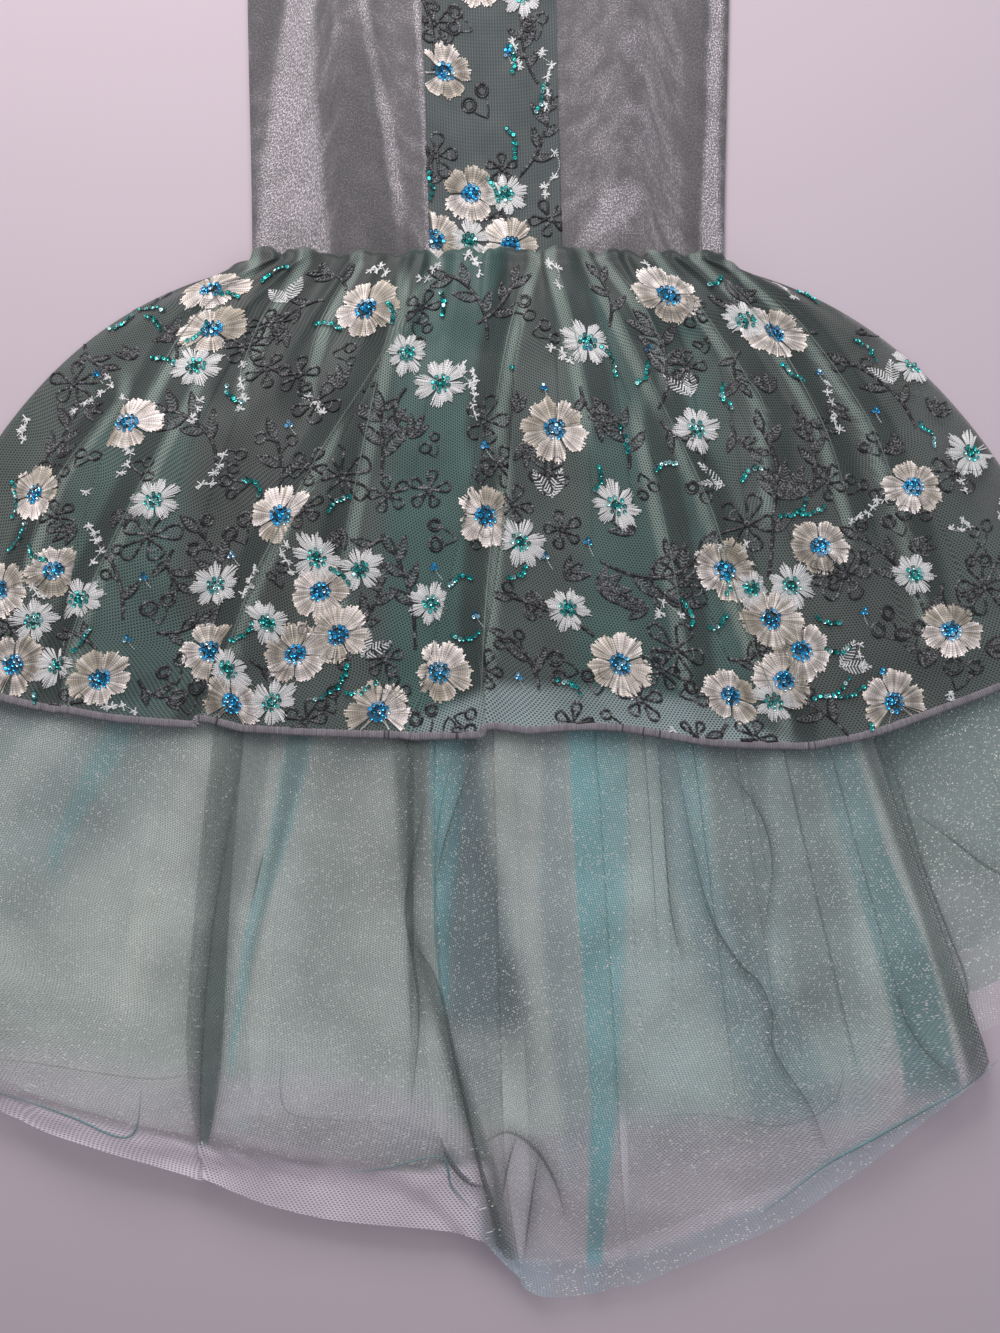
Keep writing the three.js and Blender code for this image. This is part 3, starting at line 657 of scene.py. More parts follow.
# Bands of a layer: colour, how much, softness in px, then rows of [px y, left x, right x].
BANDS = {
    "underskirt_front_outer": [
        (TURQUOISE, 1.0, 4, [[560, 556, 616], [731, 567, 627], [900, 576, 625], [1095, 590, 618],
            [1290, 586, 600]]),
        (TURQUOISE, 0.9, 6, [[560, 412, 448], [740, 428, 466], [850, 432, 460], [930, 435, 452],
            [990, 440, 450]]),
        (TURQUOISE, 0.7, 5, [[560, 330, 360], [740, 288, 316], [838, 270, 292], [930, 246, 260],
            [1050, 230, 238]]),
        (TURQUOISE, 0.85, 5, [[560, 655, 676], [752, 672, 701], [878, 690, 711], [910, 702, 711]]),
        (TURQUOISE * 0.6, 0.85, 6, [[620, 775, 815], [752, 811, 853], [852, 843, 885], [941, 870, 922],
            [994, 885, 938], [1078, 902, 958]]),
        (SLATE, 0.5, 12, [[740, 542, 566], [900, 538, 574], [1050, 552, 588], [1130, 566, 592]]),
        (SLATE, 0.6, 12, [[752, 655, 672], [850, 666, 700], [930, 690, 748], [1000, 715, 790],
            [1100, 750, 838]]),
        (SEAFOAM, 0.5, 50, [[700, 600, 860], [1100, 600, 880]]),
        (SEAFOAM * 0.62, 0.45, 60, [[690, -80, 190], [800, -80, 150], [900, -80, 50]]),
        (TURQUOISE, 0.55, 10, [[700, 124, 154], [760, 92, 122], [800, 74, 96], [850, 52, 66]]),
        (PALE, 0.35, 14, [[700, 70, 110], [760, 10, 60], [800, -40, 20]]),
        (PALE, 0.5, 16, [[760, 190, 226], [860, 160, 190], [1000, 110, 150]]),
        (GREY_NET, 0.5, 16, [[700, 702, 762], [850, 712, 768], [950, 736, 768]]),
        (GREY_NET * 1.5, 0.5, 30, [[700, 762, 800], [850, 770, 835], [1000, 790, 870]]),
        (DEEP_TEAL, 0.7, 26, [[740, 462, 480], [860, 452, 496], [930, 446, 512], [1010, 446, 526]]),
        (GREY_NET, 0.5, 14, [[744, 396, 428], [850, 400, 432], [1000, 412, 436]]),
        (SAGE * 0.55, 0.5, 30, [[740, 310, 410], [900, 305, 410], [960, 300, 400]]),
    ],
    "underskirt_front_middle": [
        (TURQUOISE, 0.8, 14, [[300, 395, 490], [560, 380, 470], [700, 410, 470]]),
        (TURQUOISE, 0.5, 30, [[300, 600, 690], [560, 640, 740], [700, 690, 760]]),
        (DEEP_TEAL, 0.9, 20, [[740, 462, 480], [860, 452, 496], [930, 446, 512], [1000, 446, 526],
            [1090, 450, 540]]),
        (SLATE, 0.6, 12, [[700, 652, 668], [800, 656, 690], [950, 690, 750], [1080, 740, 820]]),
        (PALE, 0.55, 12, [[700, 318, 392], [900, 305, 400], [1060, 288, 408], [1120, 286, 400]]),
        (PALE, 0.8, 20, [[880, -60, 190], [1000, -60, 196], [1100, -60, 190]]),
        (PALE, 0.8, 10, [[700, 630, 655], [900, 630, 665], [1100, 625, 740]]),
        (PALE, 0.6, 16, [[700, 770, 812], [900, 790, 860], [1080, 800, 880]]),
    ],
    "underskirt_back_outer": [
        (TURQUOISE, 0.8, 5, [[560, 300, 330], [800, 270, 300], [1050, 240, 262], [1200, 220, 236]]),
        (TURQUOISE * 0.9, 0.8, 6, [[560, 520, 556], [800, 540, 570], [1000, 550, 575], [1200, 560, 575]]),
        (TURQUOISE * 0.9, 0.7, 6, [[560, 700, 726], [800, 740, 764], [1000, 770, 792], [1150, 800, 812]]),
        (SLATE, 0.5, 14, [[600, 380, 420], [900, 370, 420], [1150, 380, 430]]),
        (GREY_NET, 0.6, 12, [[560, 630, 660], [850, 660, 700], [1100, 700, 750]]),
        (GREY_NET * 1.5, 0.5, 20, [[600, 180, 220], [900, 130, 190], [1100, 100, 170]]),
        (PALE, 0.6, 16, [[600, 440, 500], [900, 440, 520], [1200, 450, 530]]),
    ],
    "underskirt_front_outer_net": [
        (GREY_NET * 1.7, 0.65, 5, [[640, 240, 285], [744, 246, 271], [829, 232, 257], [925, 216, 236],
            [1054, 204, 222], [1190, 202, 205]]),
        (GREY_NET, 0.5, 4, [[744, 290, 310], [829, 276, 288], [960, 250, 256]]),
        (GREY_NET, 0.7, 8, [[640, 390, 432], [800, 398, 425], [880, 404, 414]]),
        (GREY_NET, 0.9, 6, [[640, 828, 868], [760, 866, 895], [900, 914, 942], [1065, 965, 996]]),
        (GREY_NET, 0.8, 8, [[930, 412, 418], [1070, 452, 464], [1178, 482, 500], [1240, 494, 514]]),
    ],
}
# The paler cloth near the hems, where fewer layers lie, under the bands: rows of [px x, top y, bottom y].
LOW_BAND = [
    [-80, 1036, 1400], [160, 1066, 1400], [240, 1076, 1400], [300, 1066, 1400], [420, 1090, 1400],
    [480, 1130, 1400], [560, 1130, 1400], [620, 1105, 1400], [760, 1115, 1400], [840, 1080, 1400],
    [1020, 1040, 1400],
]
GROUND = {
    "underskirt_front_middle": [(LAVENDER, 0.55, 34, LOW_BAND)],
    "underskirt_back_outer": [(LAVENDER, 0.6, 30, [[930, 880, 1200], [1010, 880, 1200],
        [1080, 900, 1200]])],
    "underskirt_front_outer": [(LAVENDER * 1.1, 0.85, 34, LOW_BAND)],
}
# Bands across the layers, over the others, with the least density and the same rows.
ACROSS = {
    "underskirt_front_outer": [
        (ICE * 1.1, 0.95, 12, 0.3, [[455, 1150, 1400], [480, 1200, 1400], [520, 1258, 1400],
            [600, 1266, 1400], [680, 1242, 1400], [760, 1206, 1400], [830, 1158, 1400], [920, 1110, 1400],
            [1010, 1064, 1400]]),
    ],
    "underskirt_front_outer_net": [
        (ROSE, 0.95, 10, 0.66, [[-80, 1078, 1300], [60, 1104, 1300], [140, 1128, 1300], [190, 1140, 1300],
            [300, 1160, 1300], [400, 1168, 1300], [470, 1160, 1300]]),
    ],
    "overskirt_front": [
        (np.array([0.19, 0.235, 0.235]), 0.85, 16, 0.0, [[430, 715, 800], [500, 684, 800], [600, 690, 800],
            [700, 700, 800], [770, 735, 800]]),
    ],
}
# Where a layer thins out: how much stays, softness, and the same rows.
THINNED = {
    "underskirt_front_outer": [
        (0.3, 12, [[-80, 1070, 1400], [60, 1098, 1400], [140, 1122, 1400], [185, 1125, 1400],
            [300, 1155, 1400], [400, 1162, 1400], [455, 1150, 1400], [462, 1400, 1401]]),
        (0.6, 12, [[560, 1262, 1400], [600, 1268, 1400], [680, 1246, 1400], [760, 1212, 1400],
            [840, 1160, 1400], [1010, 1066, 1400]]),
    ],
    "underskirt_front_middle": [
        (0.15, 6, [[200, 1118, 1400], [290, 1116, 1400], [400, 1120, 1400], [470, 1150, 1400],
            [560, 1130, 1400], [620, 1112, 1400], [775, 1120, 1400], [838, 1078, 1400], [846, 1140, 1400],
            [1000, 1080, 1400]]),
    ],
}
BAND_DENSITY = {
    "underskirt_front_outer": 0.68, "underskirt_front_middle": 0.7, "underskirt_front_outer_net": 0.46,
}
# Lines along which the overskirt is folded over to the side: px x and y.
FOLD_LINES = [
    (1, [(430, 270), (376, 373), (319, 463), (277, 542), (255, 588), (220, 684), (204, 717)]),
    (1, [(196, 390), (134, 512), (99, 585), (76, 646), (70, 690)]),
    (-1, [(653, 249), (704, 322), (742, 380), (761, 415), (768, 500)]),
    (-1, [(586, 252), (634, 358), (704, 504), (736, 608), (765, 684), (787, 719)]),
    (1, [(500, 480), (490, 560), (484, 640), (480, 745)]),
    (1, [(528, 268), (508, 340), (492, 430)]),
    (1, [(300, 268), (262, 330), (240, 390)]),
    (-1, [(700, 262), (764, 330), (822, 430), (850, 520)]),
    (1, [(352, 270), (322, 330), (306, 390)]),
    (-1, [(606, 262), (640, 310), (668, 370)]),
    (1, [(250, 272), (190, 330), (150, 400)]),
    (-1, [(556, 268), (572, 330), (590, 420)]),
    (1, [(398, 300), (372, 420), (352, 520), (338, 600)]),
    (-1, [(735, 270), (800, 325), (868, 420), (905, 520), (930, 620)]),
    (1, [(120, 400), (60, 480), (30, 560)]),
    (-1, [(640, 430), (668, 560), (690, 690)]),
]


def fold_bands(lines):
    """A paler band on the near side of each fold line, where the net lies doubled, and a painted shade on the
    far side.
    """
    bands = []
    for way, line in lines:
        for tint, amount, soft, near, far in ((FOLD_LIGHT, 0.8, 6, 0, 12), (FOLD_SHADE, 0.85, 10, -26, -1)):
            low, high = sorted((way * near, way * far))
            bands.append((tint, amount, soft, [[y, x + low, x + high] for x, y in line]))
    return bands


BANDS["overskirt_front"] = [
    (SEA, 0.7, 30, [[250, 410, 520], [400, 395, 500], [560, 385, 480], [740, 390, 475]]),
    (SEA, 0.6, 40, [[300, 560, 700], [500, 590, 720], [740, 560, 760]]),
    (SEA * 1.2, 0.4, 30, [[420, 90, 200], [560, 60, 180], [700, 110, 230]]),
    (BARK, 0.7, 40, [[260, 200, 330], [400, 230, 330], [600, 180, 300]]),
    (BARK, 0.6, 40, [[280, 760, 860], [480, 780, 930], [700, 800, 960]]),
] + fold_bands(FOLD_LINES)
BANDS["overskirt_back"] = [
    (SEA, 0.6, 40, [[300, 300, 420], [500, 270, 400], [740, 260, 390]]),
    (SEA, 0.6, 40, [[300, 600, 700], [500, 640, 760], [740, 660, 800]]),
    (BARK, 0.6, 40, [[260, 440, 560], [480, 440, 580], [700, 430, 600]]),
] + fold_bands([(-way, [(2 * WAIST_PX[0] - x, y) for x, y in line]) for way, line in FOLD_LINES[::2]])


def in_picture(points):
    return points[..., 0] / PX + WAIST_PX[0], WAIST_PX[1] - points[..., 1] / PX


def in_band(along, across, rows, soft, fade, end=None):
    """How far inside a band a place is, from rows of [along, low across, high across]. It fades
    before its first row, and past its last: end is by when, and over what length."""
    at, low, high = np.asarray(rows, float).T
    past, over = end or (fade, fade)
    ends = smooth((along - at[0] + fade) / fade) * smooth((at[-1] + past - along) / over)
    low, high = np.interp(along, at, low), np.interp(along, at, high)
    return smooth((across - low) / soft + 0.5) * smooth((high - across) / soft + 0.5) * ends


# Right of this line, px y and x, the overskirt lies in one thickness.
SINGLE_CLOTH = [262, 294, 345, 373, 409, 479, 520], [790, 832, 851, 867, 899, 946, 975]


def layer_colours(layer, base, density, thick):
    """Colour and density: denser where the cloth is gathered, steep or banded, and darker towards the waist
    seam as painted shade.
    """
    p = layer.points
    px, py = in_picture(p)
    colour = np.broadcast_to(base, p.shape)
    depth = below_waist(p[..., 0], p[..., 1])
    dense = density * (1 + thick * (1 - smooth(depth / 560)))
    if "overskirt" in layer.name:
        # painted shade: the overskirt darker towards the waist seam, among its gathers
        colour = colour * mix(0.42, 1, smooth(depth / 80))[..., None]
        single = np.interp(py, *SINGLE_CLOTH)
        dense = dense * (1 - 0.35 * smooth((px - single) / 12) * smooth((560 - py) / 60))
    else:
        # painted shade: the underskirts darker towards the waist seam, under the overskirt's gathers, a
        # little lighter far from it
        colour = colour * mix(0.5, 1.06, smooth(depth / 400))[..., None]
    for tint, amount, soft, rows in GROUND.get(layer.name, []):
        colour = mix(colour, tint, (amount * in_band(px, py, rows, soft, 30))[..., None])
    floor = BAND_DENSITY.get(layer.name, 0.5)
    for tint, amount, soft, rows in BANDS.get(layer.name, []):
        inside = amount * in_band(py, px, rows, soft, 40)
        colour = mix(colour, tint, inside[..., None])
        dense = mix(dense, np.maximum(dense, floor), inside)
    for tint, amount, soft, least, rows in ACROSS.get(layer.name, []):
        inside = amount * in_band(px, py, rows, soft, 30)
        colour = mix(colour, tint, inside[..., None])
        dense = mix(dense, np.maximum(dense, least), inside)
    for stays, soft, rows in THINNED.get(layer.name, []):
        dense = dense * mix(1, stays, in_band(px, py, rows, soft, 20))
    slope = 1 / np.clip(np.abs(layer.normals[..., 2]), 0.35, 1) - 1
    dense = dense * (1 + 0.6 * slope)
    return np.concatenate([colour, np.clip(dense, 0, 1)[..., None]], axis=-1).reshape(-1, 4)


OVERSKIRT_GRAIN, UNDERSKIRT_GRAIN = 260, 350  # how far above the waist the grain starts
SHEETS = [
    # name, colour, density, material, slot, turn of the net, thicker at the waist, cut, area
    ("overskirt_back", NET_GREEN, 0.3, OVERNET, "embroidered_tulle", 0.3, 0.2, (0.8, 0.3), 0.17),
    ("underskirt_back_outer", MIST * 0.85, 0.35, SHEER_TULLE, "outer_tulle", 0.9, 0.5, (0.95, 0.52), 0.33),
    ("underskirt_back_middle", MIST, 0.4, GLITTER_TULLE, "middle_tulle", 1.7, 0.5, (0.9, 0.5), 0.3),
    ("underskirt_back_inner", MIST * 0.8, 0.3, SHEER_TULLE, "inner_tulle", 0.1, 0.5, (0.85, 0.48), 0.28),
    ("underskirt_front_inner", SLATE * 1.3, 0.35, SHEER_TULLE, "inner_tulle", 2.3, 0.8, (0.9, 0.5), 0.27),
    ("underskirt_front_middle", SAGE, 0.5, GLITTER_TULLE, "middle_tulle", 0.6, 0.6, (1.0, 0.55), 0.32),
    ("underskirt_front_outer", SAGE, 0.42, GLITTER_TULLE, "outer_tulle", 1.2, 0.5, (1.1, 0.6), 0.36),
    ("underskirt_front_outer_net", GREY_NET, 0.1, DARK_NET, "outer_tulle", 0.5, 1.2, (1.1, 0.6), 0.36),
    ("overskirt_front", NET_GREEN, 0.58, OVERNET, "embroidered_tulle", 0.15, 0.4, (1.0, 0.3), 0.24),
]


def make_layers():
    for name, base, density, material, slot, turn, thick, flat, area in SHEETS:
        layer = BY_NAME[name]
        colours = layer_colours(layer, base, density, thick)
        uv = cloth_uv(layer, turn, OVERSKIRT_GRAIN if "over" in name else UNDERSKIRT_GRAIN)
        cut = {"flat": flat, "area": area, "held": "gathered"}
        piece = make_cloth(layer, name, material, layer.node, slot, colours, uv, **cut)
        piece.visible_shadow = not any(part in name for part in ("back", "inner", "middle"))


# ---- The bodice ----
UNDERARM_X, UNDERARM_Y = 146.0, 186.0
STRAP_X, STRAP_HALF, STRAP_TOP = 85.0, 7.0, 336.0
SEAT_IN, SEAT_OUT = STRAP_X - STRAP_HALF - 1, STRAP_X + STRAP_HALF + 1
FRONT_NECK = (250.0, 34.0)  # height of the straps' seat, and the neckline's dip
BACK_NECK = (238.0, 62.0)
RIDGES = [[-116, -112, 26, 2.6], [-62, -80, 12, 1.6], [80, 76, 22, 1.5], [126, 130, 13, 2.2]]
PILE_BANDS = [
    # how bright as painted light (below 0, painted shade), softness in px, then rows of [px y, left x, right
    # x]
    (0.95, 12, [[-150, 292, 318], [0, 284, 313], [80, 272, 313], [160, 260, 320], [240, 254, 327],
        [270, 252, 329]]),
    (0.7, 8, [[-150, 356, 364], [0, 358, 367], [60, 368, 378], [120, 380, 393], [200, 390, 402],
        [235, 396, 404]]),
    (0.35, 10, [[0, 330, 338], [120, 332, 336]]),
    (0.8, 4, [[-150, 411, 416], [0, 413, 419], [150, 423, 429], [262, 426, 432]]),
    (0.16, 30, [[-150, 570, 690], [0, 575, 700], [150, 575, 690], [262, 566, 690]]),
    (1.05, 8, [[-150, 710, 722], [0, 712, 726], [120, 709, 720], [215, 702, 722], [262, 704, 726]]),
    (0.6, 8, [[205, 600, 640], [222, 585, 615], [245, 572, 588]]),
    (-0.55, 12, [[-150, 255, 285], [0, 250, 280], [80, 248, 256]]),
    (-0.4, 14, [[60, 330, 372], [160, 334, 384], [262, 334, 420]]),
    (-0.45, 10, [[0, 688, 708], [120, 684, 704], [240, 686, 700]]),
]
# The back's painted light and shade of the pile, in the same columns.
BACK_PILE_BANDS = [
    (0.6, 16, [[-150, 330, 352], [0, 322, 352], [140, 310, 356], [262, 300, 362]]),
    (0.4, 24, [[-150, 560, 600], [60, 566, 600], [262, 590, 640]]),
    (0.45, 10, [[-20, 430, 440], [120, 440, 452], [262, 452, 462]]),
    (0.5, 12, [[-150, 655, 670], [40, 660, 672], [262, 668, 690]]),
    (-0.4, 18, [[-150, 380, 420], [100, 380, 430], [262, 390, 440]]),
    (-0.35, 16, [[0, 500, 540], [262, 510, 550]]),
]


def side_x(y):
    return mix(WAIST_HALF, UNDERARM_X, smooth(y / UNDERARM_Y))


def top_edge(x, neck):
    """The bodice's top at x: the neckline's dip, the strap's seat, then the armhole."""
    side = np.abs(x)
    strap_y, dip = neck
    t = np.clip((side - SEAT_OUT) / (UNDERARM_X - SEAT_OUT), 0, 1)
    armhole = mix(strap_y, UNDERARM_Y, 1 - (1 - t) ** 2.2)
    neckline = strap_y - dip * (1 - np.minimum(side / SEAT_IN, 1) ** 2.4)
    return np.where(side <= SEAT_IN, neckline, armhole)


def ridges(x, y):
    total = 0
    for at_waist, at_top, half, rise in RIDGES:
        t = np.clip((x - mix(at_waist, at_top, y / UNDERARM_Y)) / half, -1, 1)
        total = total + rise * smooth(y / 30) * np.cos(np.pi * t / 2) ** 2
    return total


class Panel:
    """A piece of the bodice as a surface, from its top edge down to the waist seam."""

    def __init__(self, name, left, right, top_left, top_right, neck, middle, flat, area):
        self.name = name
        self.front = "front" in name
        self.sheet = {"flat": flat, "area": area}
        columns = int((top_right - top_left) / (1.7 if self.front else 2.8))
        s, down = np.meshgrid(np.linspace(0, 1, columns), np.linspace(0, 1, 70))
        y = top_edge(mix(top_left, top_right, s), neck) * (1 - down)
        x = mix(left(y), right(y), s)
        z = np.full_like(x, middle)
        if self.front:
            z = z + ridges(x, y) + 0.25 * np.sin(0.11 * x + 0.05 * y) * np.sin(0.07 * y)
        if self.front and "centre" not in name:
            inner = np.where(np.abs(left(y)) < np.abs(right(y)), x - left(y), right(y) - x)
            z = z + 0.5 - 1.1 * (1 - smooth(inner / 2.2))
            z = mix(1.9, z, smooth((side_x(y) - np.abs(x)) / 3.5))
        finish(self, np.stack([x, y, z], axis=-1))


def left_side(y):
    return -side_x(y)


def left_seam(y):
    return -35 - 0.032 * y


def right_seam(y):
    return 45 - 0.026 * y


PANELS = [
    Panel("bodice_back", left_side, side_x, -UNDERARM_X, UNDERARM_X, BACK_NECK, 0.8, (0.3, 0.25), 0.064),
    Panel("bodice_front_centre", left_seam, right_seam, -42, 39, FRONT_NECK, 2.5, (0.1, 0.24), 0.017),
    Panel("bodice_front_left", left_side, left_seam, -UNDERARM_X, -42, FRONT_NECK, 2.6, (0.12, 0.26), 0.024),
    Panel("bodice_front_right", right_seam, side_x, 39, UNDERARM_X, FRONT_NECK, 2.6, (0.12, 0.26), 0.023),
]
CENTRE = PANELS[1]


def pile_light(points, bands):
    """Painted light and shade of the velvet's pile: bright bands where it lies towards the light along
    creases, dark ones where it lies away.
    """
    px, py = in_picture(points)
    light = np.full(px.shape, 0.26)
    for amount, soft, rows in bands:
        light = light + amount * 0.6 * in_band(py, px, rows, soft, 40, (15, 30))
    return np.clip(light, 0, 1)


def velvet_material():
    s = Shading("crushed_velvet", Roughness=0.6, Sheen_Weight=0.4, Sheen_Roughness=0.35)
    uv, light = s.uv(), s.cloth().outputs["Alpha"]
    fine = s.noise(uv, 1100.0, 2.0, 0.75)
    patch = s.noise(uv, 60.0, 4.0, 0.6)
    speck = s.map(fine, 0.5, 0.61)
    # painted light and shade: the level follows the pile's painted bands, with random crushed patches; the
    # body goes from dark to light with it, and the fine specks are painted glints of the pile, brighter where
    # it is lit
    level = s.math("ADD", light, s.map(patch, 0.3, 0.7, -0.22, 0.22))
    pile_glints = s.math("MULTIPLY", speck, s.map(level, 0.25, 0.9, 0.12, 1.0), clamp=True)
    body = s.blend(s.map(level, 0.0, 1.0), (0.08, 0.077, 0.08, 1), (0.22, 0.205, 0.215, 1))
    s.feed("Base Color", s.blend(pile_glints, body, (1.0, 0.93, 0.98, 1)))
    s.bump(fine, 0.5, 0.0006)
    return s.material


def knit_material():
    s = Shading("ribbed_mesh", Roughness=0.75, Sheen_Weight=0.2)
    uv = s.uv()
    ribs = s.node("ShaderNodeTexWave", {"Vector": uv, "Scale": 190.0, "Distortion": 0.6, "Detail": 1.0})
    inputs = {"Vector": uv, "Scale": 150.0, "Distortion": 1.0}
    loops = s.node("ShaderNodeTexWave", inputs, bands_direction="Y")
    ribs, loops = s.map(ribs.outputs["Fac"], 0, 1, 0.55, 1.0), s.map(loops.outputs["Fac"], 0, 1, 0.8, 1)
    weave = s.math("MULTIPLY", ribs, loops)
    cloud = s.noise(uv, 30.0, 3.0)
    body = s.blend(s.map(cloud, 0.35, 0.65), (0.098, 0.122, 0.122, 1), (0.145, 0.17, 0.17, 1))
    s.tinted(weave, body)
    s.bump(weave, 0.6, 0.0004)
    return s.material


class Strap:
    """A strap as a surface: from the front's neckline over the top and down the back."""

    def __init__(self, side):
        seat = FRONT_NECK[0]
        path = [(seat - 3, 3.4)] + [(seat + 4 * k, 2.7) for k in range(1, 21)]
        turns = np.linspace(1.5, -1.5, 7)
        path += [(STRAP_TOP - 1.2 + 1.1 * math.cos(a), 1.65 + 1.1 * math.sin(a)) for a in turns]
        path += [(seat + 80 - 4 * k, 0.6) for k in range(24)]
        across = np.linspace(-1, 1, 9)
        y, z = np.array(path).T[..., None]
        x = side * STRAP_X + STRAP_HALF * across
        finish(self, np.stack(np.broadcast_arrays(x, y, z - 0.25 * across**2), axis=-1))


def greys(light):
    return np.repeat(light.reshape(-1, 1), 4, axis=1)


def make_bodice():
    velvet, knit = velvet_material(), knit_material()
    for panel in PANELS:
        material, slot = (knit, "embroidered_mesh") if panel is CENTRE else (velvet, "velvet")
        light = greys(pile_light(panel.points, PILE_BANDS if panel.front else BACK_PILE_BANDS))
        make_cloth(
            panel, panel.name, material, panel.name, slot, light, cloth_uv(panel), held="laid", **panel.sheet
        )
    for side, name in ((-1, "strap_left"), (1, "strap_right")):
        strap = Strap(side)
        light = greys(np.full(strap.points.shape[:2], 0.4))
        cut = {"flat": (0.014, 0.19), "held": "laid"}
        make_cloth(strap, name, velvet, name, "velvet", light, cloth_uv(strap), **cut)


# ---- Stitched things: ribbons that follow paths on the cloth ----
class Stitches:
    """Collects strips and sequins for one mesh."""

    def __init__(self):
        self.points, self.faces, self.uv, self.colours = [], [], [], []
        self.count = 0

    def add(self, points, colours, uv, faces):
        self.points.append(points.reshape(-1, 3))
        self.colours.append(colours.reshape(-1, 4))
        self.uv.append(uv.reshape(-1, 2))
        self.faces.append(faces + self.count)
        self.count += len(self.points[-1])

    def sweep(self, paths, normals, half, colour, height, profile):
        """paths and normals are n x k x 3, half widths and colours n x k or wider by one axis."""
        n, k = paths.shape[:2]
        side = unit(np.cross(np.gradient(paths, axis=1), normals))
        half = np.broadcast_to(half, (n, k))
        rows = [paths + side * (s * half)[..., None] + normals * (h * height) for s, h in profile]
        points = np.stack(rows, axis=2)
        m = len(profile)
        length = totals(np.linalg.norm(np.diff(paths, axis=1), axis=-1), 1) / 1000
        uv = np.stack(np.broadcast_arrays(length[..., None], np.arange(m) * 0.0006), axis=-1)
        colours = np.ones((n, k, m, 4))
        colours[..., :3] = np.broadcast_to(colour, (n, k, 3))[:, :, None, :]
        strip = grid_faces(k, m)
        faces = (strip[None] + (np.arange(n) * k * m)[:, None, None]).reshape(-1, 4)
        self.add(points, colours, uv, faces)

    def mesh(self, name, smooth_shaded=True):
        return make_mesh(
            name, np.concatenate(self.points), np.concatenate(self.faces), np.concatenate(self.uv),
            np.concatenate(self.colours), smooth_shaded,
        )


ANCHOR_REACH = 2.4  # in mm: cloth this near to a place may carry its motif
# What a stitch and a cord look like across: shares of the half width and of the height.
ROOF = [(-1, 0), (0, 1), (1, 0)]
ROUND = [(-1, -0.2), (-0.7, 0.75), (0, 1), (0.7, 0.75), (1, -0.2)]


def anchor(surface, px, py, turned=0.0):
    """Where a place of the picture is on a surface, on top where it is folded: row, column and turn."""
    x, y = plan(px, py)
    p = surface.points
    away = np.hypot(p[..., 0] - x, p[..., 1] - y)
    near = np.where(away < max(ANCHOR_REACH, away.min() + 0.3), p[..., 2], -1)
    row, column = np.unravel_index(np.argmax(near), near.shape)
    lean = 0.0
    if isinstance(surface, Layer):
        u, v = surface.u_rows[row, column], surface.v_rows[row, column]
        x, y = surface.fan(np.array([u, u]), np.array([v, v + 0.05]))  # a short way down the cloth
        lean = math.atan2(x[1] - x[0], y[0] - y[1])
    return row, column, lean - math.radians(turned)


def on_cloth(surface, place, ab, lift=0.0):
    """Maps flat points about a place, right and up in mm, onto a surface by lengths of cloth."""
    row0, column0, turn = place
    a = ab[..., 0] * math.cos(turn) + ab[..., 1] * math.sin(turn)
    b = ab[..., 1] * math.cos(turn) - ab[..., 0] * math.sin(turn)
    profile = surface.down[:, column0]
    target = profile[row0] - b
    row = np.interp(target, profile, np.arange(len(profile)))
    outside = (target > profile[-1] + 0.2) | (target < profile[0])
    low = np.minimum(row.astype(int), len(profile) - 2)
    share = (row - low)[..., None]
    ends = []
    for rows in (low, low + 1):
        column = np.zeros(a.shape)
        for r in np.unique(rows):
            at = rows == r
            line = surface.along[r]
            goal = a[at] + line[column0]
            column[at] = np.interp(goal, line, np.arange(len(line)))
            outside[at] |= (goal < line[0]) | (goal > line[-1])
        ends.append((sample(surface.points, rows, column), sample(surface.normals, rows, column)))
    (p0, n0), (p1, n1) = ends
    normals = unit(mix(n0, n1, share))
    return mix(p0, p1, share) + normals * np.asarray(lift)[..., None], normals, outside


CHAMPAGNE = np.array([1.0, 0.92, 0.87])
# The champagne thread's dull, unlit side, for the petals' painted sheen
CHAMPAGNE_UNLIT = np.array([0.46, 0.41, 0.33])
WHITE = np.array([1.0, 0.98, 0.97])
GREY_WHITE = np.array([0.46, 0.5, 0.48])
CHARCOAL = np.array([0.013, 0.012, 0.014])
# Mauve-grey thread, also used as the painted sheen on the charcoal cords and leaf stitches
MAUVE_THREAD_AND_SHEEN = np.array([0.24, 0.24, 0.25])
BLUE = np.array([0.008, 0.34, 0.66])
TEAL = np.array([0.006, 0.36, 0.34])


CORD_STEP = 1.5
CUP = [(1.0, 0.35), (0.62, 0.0), (0.3, 0.02)]  # a sequin's rings: radius as a share, height in mm


def square_to(out):
    return np.array([-out[1], out[0]])


def leaf_shape(t):
    """A leaf's width along its rib, as a share."""
    return np.sin(math.pi * t**0.8)


def bent(bend, count):
    """The heading along a bent line, and the same as directions."""
    heading = math.pi / 2 + bend * (np.linspace(0, 1, count) - 0.5) * 1.6
    return heading, polar(1, heading)


